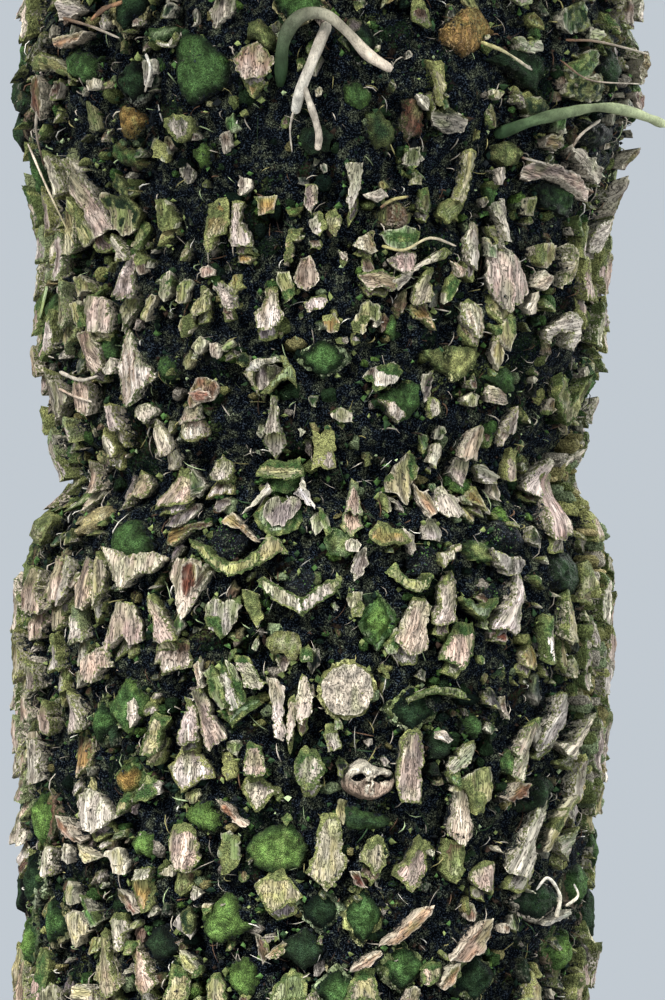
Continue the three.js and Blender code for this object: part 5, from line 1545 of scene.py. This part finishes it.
def overBark(across, height, out):
    z = height / 1000
    radius = float(trunkRadius(z)) - 0.008
    turn = math.asin((across / 1000 - float(trunkAxis(z))) / (radius + 0.008))
    reach = radius + out / 1000
    return float(trunkAxis(z)) + reach * math.sin(turn), -reach * math.cos(turn), z


def growRoots():
    for i, measure in enumerate(rootMeasures.values()):
        foot, end = measure["colours"]
        addTube(roots, [overBark(*stop) for stop in measure["path"]], measure["radius"] / 1000, foot, 40, 12,
                measure["taper"], i + 1, 0.25, end)
    for i, (path, radius, tint, second) in enumerate(twigMarks):
        line = sightLine([(px, py, out * 0.001) for px, py, out in path])
        addTube(roots, line, radius * 0.001 * 0.75, tint, 22, 7, (1, 0.6), i + 20, 0.3, second)


growRoots()
print("litter, strips and roots done")

# Fronds: the same plan as the solid ones, with every leaflet cut out
frond = {
    "count": 42, "longest": 1.62, "shortest": 1.18, "petiole": 0.13, "reach": 0.165, "forward": 0.42,
    "pairs": 68, "sunk": 0.025, "lift": math.radians(14), "leafletWidth": 0.0185, "ribSides": 9,
    "curve": 0.055, "leaflet": [(0.0, 0.42), (0.22, 1.0), (0.52, 0.90), (0.80, 0.50)],  # where, how wide
}


def frondPlan(i):
    age = 1 - (i + 0.5) / frond["count"]
    turn = i * trunk["goldenAngle"] + math.radians(10 * (chance(i, 3) - 0.5))
    outward = math.sqrt(mix(0.1, 0.93, age))
    radius = float(trunkRadius(trunk["height"])) * outward
    z = trunk["height"] + trunk["dome"] * math.sqrt(1 - outward ** 2)
    longest = mix(frond["shortest"], frond["longest"], math.sqrt(age))
    return {
        "age": age, "turn": turn, "length": longest * mix(0.94, 1.04, chance(i, 4)),
        "foot": np.array((float(trunkAxis(z)) + radius * math.sin(turn), -radius * math.cos(turn), z)),
        "rise": math.radians(mix(84, 12, age ** 0.85)),
        "droop": math.radians(mix(24, 46, age) * mix(0.85, 1.15, chance(i, 5))),
        "sway": math.radians(14 * (chance(i, 6) - 0.5)),
    }


def ribDirections(plan, share):
    # forward, aside and up along the rib
    lift = plan["rise"] - plan["droop"] * np.maximum(share, 0) ** 1.4
    heading = plan["turn"] + plan["sway"] * share
    forward = np.stack((np.cos(lift) * np.sin(heading), -np.cos(lift) * np.cos(heading), np.sin(lift)), -1)
    side = np.stack((np.cos(heading), np.sin(heading), heading * 0), -1)
    return forward, side, np.cross(forward, side)


def ribLine(plan, shares):
    # places and directions along the rib, walked in small steps from the sunk foot
    fineShares = np.linspace(-frond["sunk"] / plan["length"], 1, 400)
    middle = (fineShares[1:] + fineShares[:-1]) / 2
    steps = ribDirections(plan, middle)[0] * (np.diff(fineShares) * plan["length"])[:, None]
    walk = np.concatenate((np.zeros((1, 3)), np.cumsum(steps, 0)))
    start = plan["foot"] - ribDirections(plan, np.array([0.0]))[0][0] * frond["sunk"]
    line = np.stack([np.interp(shares, fineShares, start[k] + walk[:, k]) for k in range(3)], -1)
    return line, *ribDirections(plan, shares)


def bladeReach(t):
    return (frond["reach"] * np.minimum(1, 0.2 + 2.4 * t)
            * np.sin(math.pi * np.minimum(1, 0.1 + 0.62 * t)) ** 0.7 * (1 - 0.72 * t ** 3))


def growRib(i, plan):
    # a keeled tube from the woolly foot to the tip
    woollyShares = np.linspace(-frond["sunk"] / plan["length"], 0.06, 6)
    shares = np.concatenate((woollyShares, np.linspace(0.09, 1.0, 20)))
    line, forward, side, upward = ribLine(plan, shares)
    width = mix(0.024, 0.008, smoothStep(shares, -0.05, 0.9)) * (1 + 0.9 * smoothStep(shares, 0.05, -0.01))
    width = (width * mix(0.82, 1, smoothStep(shares, 1.0, 0.92)))[:, None, None]
    angle = np.linspace(0, wholeTurn, frond["ribSides"], endpoint=False)
    keel = np.sin(angle) * np.where(np.sin(angle) > 0, 0.30, 0.62) - 0.12
    points, faces = closeLoft(line[:, None] + side[:, None] * (np.cos(angle)[None, :, None] * width / 2)
                              + upward[:, None] * (keel[None, :, None] * width))
    woolly = smoothStep(np.concatenate((np.repeat(shares, frond["ribSides"]), (-1, 1))), 0.055, 0.0)
    green = mix(paint["leaf"], paint["leafLight"], 0.35 + 0.4 * (1 - plan["age"])) * 1.15
    tint = tinted(green, paint["wool"] * 0.8, woolly * 0.9)
    ribs.add(points, faces, tint * (0.75 + 0.5 * softNoise(points, 0.012, i))[:, None], woolly)


def leafletRings(plan, sign, seeds):
    # the rings and the tips of the leaflets on one side of a frond, all built at once
    t = np.clip((np.arange(frond["pairs"]) + 0.4) / frond["pairs"] + 0.004 * sign, 0, 0.996)
    share = mix(frond["petiole"], 1.0, t)
    line, forward, side, upward = ribLine(plan, share)
    reach = bladeReach(t) * mix(0.93, 1.06, chance(seeds, 51))
    half = frond["leafletWidth"] / 2 * np.minimum(1, 0.35 + reach / 0.15) * mix(0.9, 1.1, chance(seeds, 52))
    lift = frond["lift"] + 0.10 * (chance(seeds, 53) - 0.5)
    along = (side * sign * reach[:, None] + forward * (reach * frond["forward"])[:, None]
             + upward * (np.tan(lift) * reach)[:, None])
    size = np.linalg.norm(along, axis=1)[:, None]
    ahead = along / size
    face = upward - ahead * (upward * ahead).sum(1)[:, None]
    face /= np.linalg.norm(face, axis=1)[:, None]
    across = np.cross(face, ahead)
    twist = (0.30 * sign + 0.25 * (chance(seeds, 54) - 0.5))[:, None]
    across, face = across * np.cos(twist) + face * np.sin(twist), face * np.cos(twist) - across * np.sin(twist)
    root = line + side * sign * (mix(0.022, 0.007, share) * 0.36)[:, None]
    rings = []
    for part, wide in frond["leaflet"]:
        bow = 0.030 * size * math.sin(math.pi * part) - frond["curve"] * size * part ** 2
        middle = root + along * part + face * bow
        w = (half * wide)[:, None]
        rings.append(np.stack((middle - across * w + face * w * 0.16, middle - face * 0.0005,
                               middle + across * w + face * w * 0.16,
                               middle - face * (0.0022 * (1 - 0.5 * part))), 1))
    return np.stack(rings, 1), root + along * 1.04 - face * frond["curve"] * size


def growLeaflets(i, plan, leaves):
    young = 1 - plan["age"]
    base = mix(mix(paint["leaf"], paint["leafDark"], plan["age"] * 0.7), paint["leafLight"], young ** 2 * 0.7)
    for sign in (-1, 1):  # in pairs, a little out of step from side to side
        seeds = i * 1000 + np.arange(frond["pairs"]) * 2 + (sign > 0)
        rings, tips = leafletRings(plan, sign, seeds)
        shade = mix(0.72, 1.18, chance(seeds, 55)) * mix(0.92, 1.1, chance(i, 56))
        for ring, tip, bright in zip(rings, tips, shade):
            body = np.concatenate((ring.reshape(-1, 3), ring[0].mean(0)[None], tip[None]))
            colour = np.repeat((base * bright)[None], len(body), 0)
            colour[1::4] *= 1.25
            leaves.add(body, loftFaces(*ring.shape[:2]), colour)


for i in range(frond["count"]):
    plan = frondPlan(i)
    growRib(i, plan)
    growLeaflets(i, plan, olderLeaves if i < frond["count"] // 2 else youngerLeaves)
print("fronds grown")

# Bud scales: woolly pointed scales wrapped round the growing tip
bud = {"scales": 40, "radius": 0.026, "sunk": 0.012, "climb": 0.055, "long": 0.052, "thick": 0.0078,
       "lean": 0.20}


def growBud():
    crest = trunk["height"] + trunk["dome"]
    for i in range(bud["scales"]):
        level = i / bud["scales"]
        turn = i * trunk["goldenAngle"]
        outward = np.array((math.sin(turn), -math.cos(turn), 0))
        foot = np.array((float(trunkAxis(crest)), 0.0, crest)) + outward * bud["radius"] * (1 - 0.75 * level)
        foot[2] += bud["climb"] * level - bud["sunk"]
        lean, up = outward * bud["lean"] * (1 - level), np.array((0, 0, 1))
        rise = bud["long"] * (1 - 0.2 * level)
        path = [foot, foot + (lean * 0.4 + up) * rise * 0.5, foot + (lean * 0.2 + up) * rise]
        addTube(budHeap, path, bud["thick"] * (1 - 0.45 * level), "wool", 9, 8, (1, 0.15), i, 0.2, "brown")


growBud()


def addNode(tree, kind, inputs, **settings):
    # a shader node, with a value or another node's socket for each input
    node = tree.nodes.new("ShaderNode" + kind)
    for key, value in settings.items():
        setattr(node, key, value)
    for key, value in inputs.items():
        if isinstance(value, bpy.types.NodeSocket):
            tree.links.new(value, node.inputs[key])
        else:
            node.inputs[key].default_value = value
    return node


def maths(tree, operation, *values):
    return addNode(tree, "Math", dict(enumerate(values)), operation=operation).outputs[0]


def noise(tree, place, scale, detail=2.0, roughness=0.5, distortion=0.0):
    inputs = {"Vector": place, "Scale": scale, "Detail": detail, "Roughness": roughness,
              "Distortion": distortion}
    return addNode(tree, "TexNoise", inputs).outputs["Fac"]


def spanOf(tree, value, low, high, bottom=0.0, top=1.0, ease="LINEAR"):
    # the value from low to high becomes one from bottom to top
    return addNode(tree, "MapRange", {"Value": value, "From Min": low, "From Max": high, "To Min": bottom,
                                      "To Max": top}, interpolation_type=ease).outputs[0]


def ridges(tree, value):
    # how far the noise lies from its middle, which is nought along thin winding lines
    return maths(tree, "ABSOLUTE", maths(tree, "SUBTRACT", value, 0.5))


def objectPlace(tree):
    return addNode(tree, "TexCoord", {}).outputs["Object"]


def laid(tree, under, over, mask):
    # one colour or value over another, where the mask says
    isColour = over.type in ("RGBA", "VECTOR")
    inputs = {0: mask, 6: under, 7: over} if isColour else {0: mask, 2: under, 3: over}
    node = addNode(tree, "Mix", inputs, data_type="RGBA" if isColour else "FLOAT")
    return node.outputs[2 if isColour else 0]


def scaled(tree, colour, amount):
    return addNode(tree, "VectorMath", {0: colour, "Scale": amount}, operation="SCALE").outputs[0]


def opaque(colour):
    return (*colour, 1)


# Shader groups: grain of dead wood, granules of moss, black litter, and the ragged edge of a cover
def newGroup(name, inputs, outputs):
    group = bpy.data.node_groups.new(name, "ShaderNodeTree")
    for label, value in inputs.items():
        kind = "NodeSocketVector" if label == "Place" else "NodeSocketFloat"
        socket = group.interface.new_socket(label, in_out="INPUT", socket_type=kind)
        socket.default_value = value
    for label in outputs:
        kind = "NodeSocketColor" if label == "Colour" else "NodeSocketFloat"
        group.interface.new_socket(label, in_out="OUTPUT", socket_type=kind)
    return group, group.nodes.new("NodeGroupInput").outputs


def giveOut(group, **values):
    out = group.nodes.new("NodeGroupOutput")
    for label, value in values.items():
        group.links.new(value, out.inputs[label])
    return group


def buildWoodLines():
    # dark lines and pale threads that run along the wood
    group, given = newGroup("woodLines", {"Place": (0, 0, 0), "Lines": 900.0, "Stretch": 0.06},
                            ["Shade", "Height"])
    squeeze = addNode(group, "CombineXYZ", {"X": 1.0, "Y": 1.0, "Z": given["Stretch"]}).outputs[0]
    place = addNode(group, "VectorMath", {0: given["Place"], 1: squeeze}, operation="MULTIPLY").outputs[0]
    fine = ridges(group, noise(group, place, given["Lines"], 3.0, 0.60))
    line = spanOf(group, fine, 0.0, 0.040, 0.30, 1.0, "SMOOTHSTEP")
    tone = spanOf(group, noise(group, place, 330.0), 0.34, 0.66, 0.64, 1.26)
    shade = maths(group, "MULTIPLY", line, tone)
    return giveOut(group, Shade=shade, Height=shade)


def buildMossGrain():
    # granules, with painted shade in the darker hollows between them
    group, given = newGroup("mossGrain", {"Granules": 900.0}, ["Shade", "Height"])
    place = objectPlace(group)
    cells = addNode(group, "TexVoronoi", {"Vector": place, "Scale": given["Granules"]}, feature="F1")
    bulge = spanOf(group, cells.outputs["Distance"], 0.12, 0.80, 1.0, 0.30)
    tone = spanOf(group, noise(group, place, 560.0, 3.0, 0.75), 0.34, 0.70, 0.25, 1.35)
    shade = maths(group, "MULTIPLY", maths(group, "MULTIPLY_ADD", bulge, 0.75, bulge), tone)
    return giveOut(group, Shade=shade, Height=shade)


def buildLitter():
    # black fibre with pale threads, and specks of lichen
    group, given = newGroup("blackLitter", {"Threads": 300.0}, ["Colour", "Height"])
    place = objectPlace(group)
    tangle = noise(group, place, given["Threads"], 2.0, 0.6, 1.6)
    thread = spanOf(group, ridges(group, tangle), 0.0, 0.042, 1.0, 0.0, "SMOOTHSTEP")
    specks = spanOf(group, noise(group, place, 1150.0, 1.0), 0.54, 0.66, ease="SMOOTHSTEP")
    patches = spanOf(group, noise(group, place, 150.0), 0.45, 0.64, ease="SMOOTHSTEP")
    shown = maths(group, "MAXIMUM", maths(group, "MULTIPLY", thread, patches), specks)
    # the blue cast of the fibre and the dust stands in for skylight on the black: painted skylight
    fibre, dust = opaque(paint["black"] * (0.34, 0.36, 0.44)), opaque(paint["charcoal"] * (4.6, 5.0, 6.2))
    lichen = opaque(paint["paleGreen"] * 0.34 + paint["white"] * 0.10)
    speck = addNode(group, "Mix", {0: patches, 6: dust, 7: lichen}, data_type="RGBA").outputs[2]
    colour = addNode(group, "Mix", {0: shown, 6: fibre, 7: speck}, data_type="RGBA").outputs[2]
    return giveOut(group, Colour=colour, Height=maths(group, "ADD", thread, tangle))


def buildRaggedMask():
    # where a cover lies: the painted amount, with its edge broken up
    group, given = newGroup("raggedMask", {"Amount": 0.5, "Scale": 500.0, "Ragged": 1.0}, ["Mask"])
    uneven = maths(group, "SUBTRACT", noise(group, objectPlace(group), given["Scale"], 2.5, 0.65), 0.5)
    total = maths(group, "MULTIPLY_ADD", uneven, given["Ragged"], given["Amount"])
    return giveOut(group, Mask=spanOf(group, total, 0.43, 0.57, ease="SMOOTHSTEP"))


groups = {"wood": buildWoodLines(), "moss": buildMossGrain(), "litter": buildLitter(),
          "mask": buildRaggedMask()}


def useGroup(tree, name, **inputs):
    return addNode(tree, "Group", inputs, node_tree=groups[name]).outputs


def newSurface(name):
    material = bpy.data.materials.new(name)
    material.use_nodes = True
    tree = material.node_tree
    shader = next(node for node in tree.nodes if node.type == "BSDF_PRINCIPLED")
    return material, tree, shader


def linkSurface(tree, shader, colour, rough, height, bump, depth, specular):
    # the last links of a surface: colour, roughness and relief
    relief = addNode(tree, "Bump", {"Strength": bump, "Distance": depth, "Height": height})
    links = {"Base Color": colour, "Roughness": rough, "Normal": relief.outputs["Normal"]}
    for key, socket in links.items():
        tree.links.new(socket, shader.inputs[key])
    shader.inputs["Specular IOR Level"].default_value = specular


def barkSurface(name, lines, stretch, granules, bump=0.9, depth=0.0016, specular=0.3):
    # dead wood under ragged moss, and black litter over both; the litter layer also carries painted shade
    # under the plates, in the holes and at the rims of domes
    material, tree, shader = newSurface(name)
    tint, growth = (addNode(tree, "VertexColor", {}, layer_name=key).outputs["Color"]
                    for key in ("tint", "growth"))
    moss, grimeAndShade, grain = (addNode(tree, "Attribute", {}, attribute_name=key).outputs
                          for key in ("moss", "grimeAndShade", "grain"))
    wood = useGroup(tree, "wood", Place=grain["Vector"], Lines=lines, Stretch=stretch)
    grains = useGroup(tree, "moss", Granules=granules)
    black = useGroup(tree, "litter", Threads=430.0)
    mossMask = useGroup(tree, "mask", Amount=moss["Fac"], Scale=620.0, Ragged=1.5)["Mask"]
    dirtAndShadeMask = useGroup(tree, "mask", Amount=grimeAndShade["Fac"], Scale=430.0, Ragged=1.3)["Mask"]
    colour = laid(tree, scaled(tree, tint, wood["Shade"]), scaled(tree, growth, grains["Shade"]), mossMask)
    colour = laid(tree, colour, black["Colour"], dirtAndShadeMask)
    height = laid(tree, laid(tree, wood["Height"], grains["Height"], mossMask), black["Height"], dirtAndShadeMask)
    rough = spanOf(tree, wood["Shade"], 0.0, 1.0, 0.95, 0.62)
    linkSurface(tree, shader, colour, rough, height, bump, depth, specular)
    return material


def smallSurface(name, lines=900.0, stretch=0.3, contrast=(0.55, 1.4), rough=(0.62, 0.92), bump=0.4,
                 depth=0.0008, specular=0.3, sheen=0.0):
    # one painted colour with faint lines along the thing
    material, tree, shader = newSurface(name)
    tint = addNode(tree, "VertexColor", {}, layer_name="tint").outputs["Color"]
    wood = useGroup(tree, "wood", Place=objectPlace(tree), Lines=lines, Stretch=stretch)
    gain, gloss = (spanOf(tree, wood["Shade"], 0.0, 1.0, *ends) for ends in (contrast, rough))
    linkSurface(tree, shader, scaled(tree, tint, gain), gloss, wood["Height"], bump, depth, specular)
    shader.inputs["Sheen Weight"].default_value = sheen
    return material


dryWood = barkSurface("weatheredScale", 640.0, 0.06, 1200.0, 1.0, 0.0015, 0.15)
mossyBase = barkSurface("mossyLeafBase", 900.0, 0.15, 1150.0, depth=0.0018, specular=0.08)
blackFibre = barkSurface("blackFibre", 420.0, 0.4, 700.0, depth=0.0034, specular=0.02)
mossTuft = barkSurface("mossTuft", 700.0, 0.4, 950.0, depth=0.0022, specular=0.05)
hairSkin = smallSurface("driedHair", specular=0.15)
crumbSkin = smallSurface("mossCrumb", 700.0, 1.0, specular=0.08)
rootSkin = smallSurface("aerialRoot", 500.0, 0.5, (0.55, 1.15), (0.6, 0.9), 0.5, 0.0008, 0.12)
paperSkin = smallSurface("paperyStrip", 620.0, 0.4, (0.35, 1.25), (0.45, 0.75), 0.6, 0.0008)
leafSkin = smallSurface("frondLeaflet", 260.0, 0.6, (0.8, 1.15), (0.30, 0.46), 0.25, 0.0006, 0.5)
ribSkin = smallSurface("frondRib", 300.0, 0.2, (0.75, 1.2), (0.38, 0.6), 0.4, 0.0008, 0.45)
woolSkin = smallSurface("budWool", 600.0, 0.3, (0.5, 1.3), (0.7, 0.95), 0.6, 0.0012, 0.2, 0.2)

frondNodes = [f"frond_{i + 1:02d}" for i in range(frond["count"])]
older = frond["count"] // 2
# Each piece with its finish, its slot, the angle over which an edge is sharp, and the solids that it replaces
pieces = [
    (plates, "broken_plates", dryWood, "trunk_bark", 42, []),
    (coreHeap, "trunk_core", blackFibre, "trunk_bark", 0, ["trunk"]),
    (grownStubs, "scale_stubs_between", dryWood, "trunk_bark", 42, []),
    (farStubs, "scale_stubs_round", dryWood, "trunk_bark", 42, []),
    (leafBases, "leaf_bases", mossyBase, "trunk_bark", 50, []),
    (farBases, "leaf_bases_round", mossyBase, "trunk_bark", 50, []),
    (chips, "broken_chips", dryWood, "trunk_bark", 50, []),
    (flakes, "papery_strips", paperSkin, "trunk_bark", 0, []),
    (hairs, "fibre_hairs", hairSkin, "trunk_bark", 0, []),
    (crumbs, "moss_crumbs", crumbSkin, "trunk_bark", None, []),
    (tufts, "moss_tufts", mossTuft, "trunk_bark", 0, []),
    (roots, "aerial_roots", rootSkin, "dried_root", 0, ["root_arch", "root_hanging", "root_side"]),
    (budHeap, "bud_scales", woolSkin, "bud_scale", 0, ["crown_bud"]),
    (ribs, "frond_ribs", ribSkin, "frond_green", 0, []),
    (olderLeaves, "older_leaflets", leafSkin, "frond_green", 0, frondNodes[:older]),
    (youngerLeaves, "younger_leaflets", leafSkin, "frond_green", 0, frondNodes[older:]),
]
for heap, name, surface, slotName, sharp, nodes in pieces:
    made = heap.piece(name, surface, slotName, sharp)
    if nodes:
        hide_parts(*nodes)

# Floor, light and camera
studio = {"radius": 2.9, "sides": 64, "colour": (0.23, 0.235, 0.24), "rough": 0.9, "sky": (0.84, 0.92, 1.0, 1),
          "skyPower": 0.64}
lamps = {  # place, what it looks at, size across, power, colour
    "key": ((-1.7, -3.0, 3.7), (0.0, 0.0, 0.9), 1.5, 545, (1.0, 0.985, 0.975)),
    "fill": ((2.8, -3.0, 1.5), (0.0, 0.0, 0.8), 2.4, 90, (0.95, 0.98, 1.0)),
    "rim": ((2.6, 2.0, 2.2), (0.1, 0.0, 0.8), 1.4, 130, (1.0, 1.0, 0.97)),
}


def linked(name, data):
    made = bpy.data.objects.new(name, data)
    bpy.context.scene.collection.objects.link(made)
    return made


def layFloor():
    material, tree, shader = newSurface("studioFloor")
    cloud = addNode(tree, "TexNoise", {"Scale": 1.5, "Detail": 2.0}).outputs["Fac"]
    colour = scaled(tree, studio["colour"], spanOf(tree, cloud, 0.0, 1.0, 0.97, 1.03))
    tree.links.new(colour, shader.inputs["Base Color"])
    shader.inputs["Roughness"].default_value = studio["rough"]
    angle = np.linspace(0, wholeTurn, studio["sides"], endpoint=False)
    points = [(studio["radius"] * math.cos(a), studio["radius"] * math.sin(a), -0.001) for a in angle]
    mesh = bpy.data.meshes.new("studio_floor")
    mesh.from_pydata(points, [], [tuple(range(studio["sides"]))])
    mesh.materials.append(material)
    linked("studio_floor", mesh)


def setLights():
    for name, (place, target, size, power, colour) in lamps.items():
        lamp = bpy.data.lights.new(name, "AREA")
        lamp.shape = "DISK"
        lamp.size, lamp.energy, lamp.color = size, power, colour
        made = linked(name, lamp)
        made.location = place
        made.rotation_euler = (Vector(target) - made.location).to_track_quat("-Z", "Y").to_euler()
    world = bpy.data.worlds.new("studio")
    world.use_nodes = True
    sky = next(node for node in world.node_tree.nodes if node.type == "BACKGROUND")
    sky.inputs["Color"].default_value = studio["sky"]
    sky.inputs["Strength"].default_value = studio["skyPower"]
    bpy.context.scene.world = world


def setCamera():
    lens = bpy.data.cameras.new("camera")
    lens.lens, lens.sensor_fit = view["lens"], "VERTICAL"
    lens.sensor_height = view["film"]
    camera = linked("camera", lens)
    camera.location = (view["aside"], -view["distance"], view["height"])
    camera.rotation_euler = (math.pi / 2, 0, 0)
    bpy.context.scene.camera = camera


layFloor()
setLights()
setCamera()
bpy.context.scene.view_settings.view_transform = "Standard"
print("floor, light and camera set")
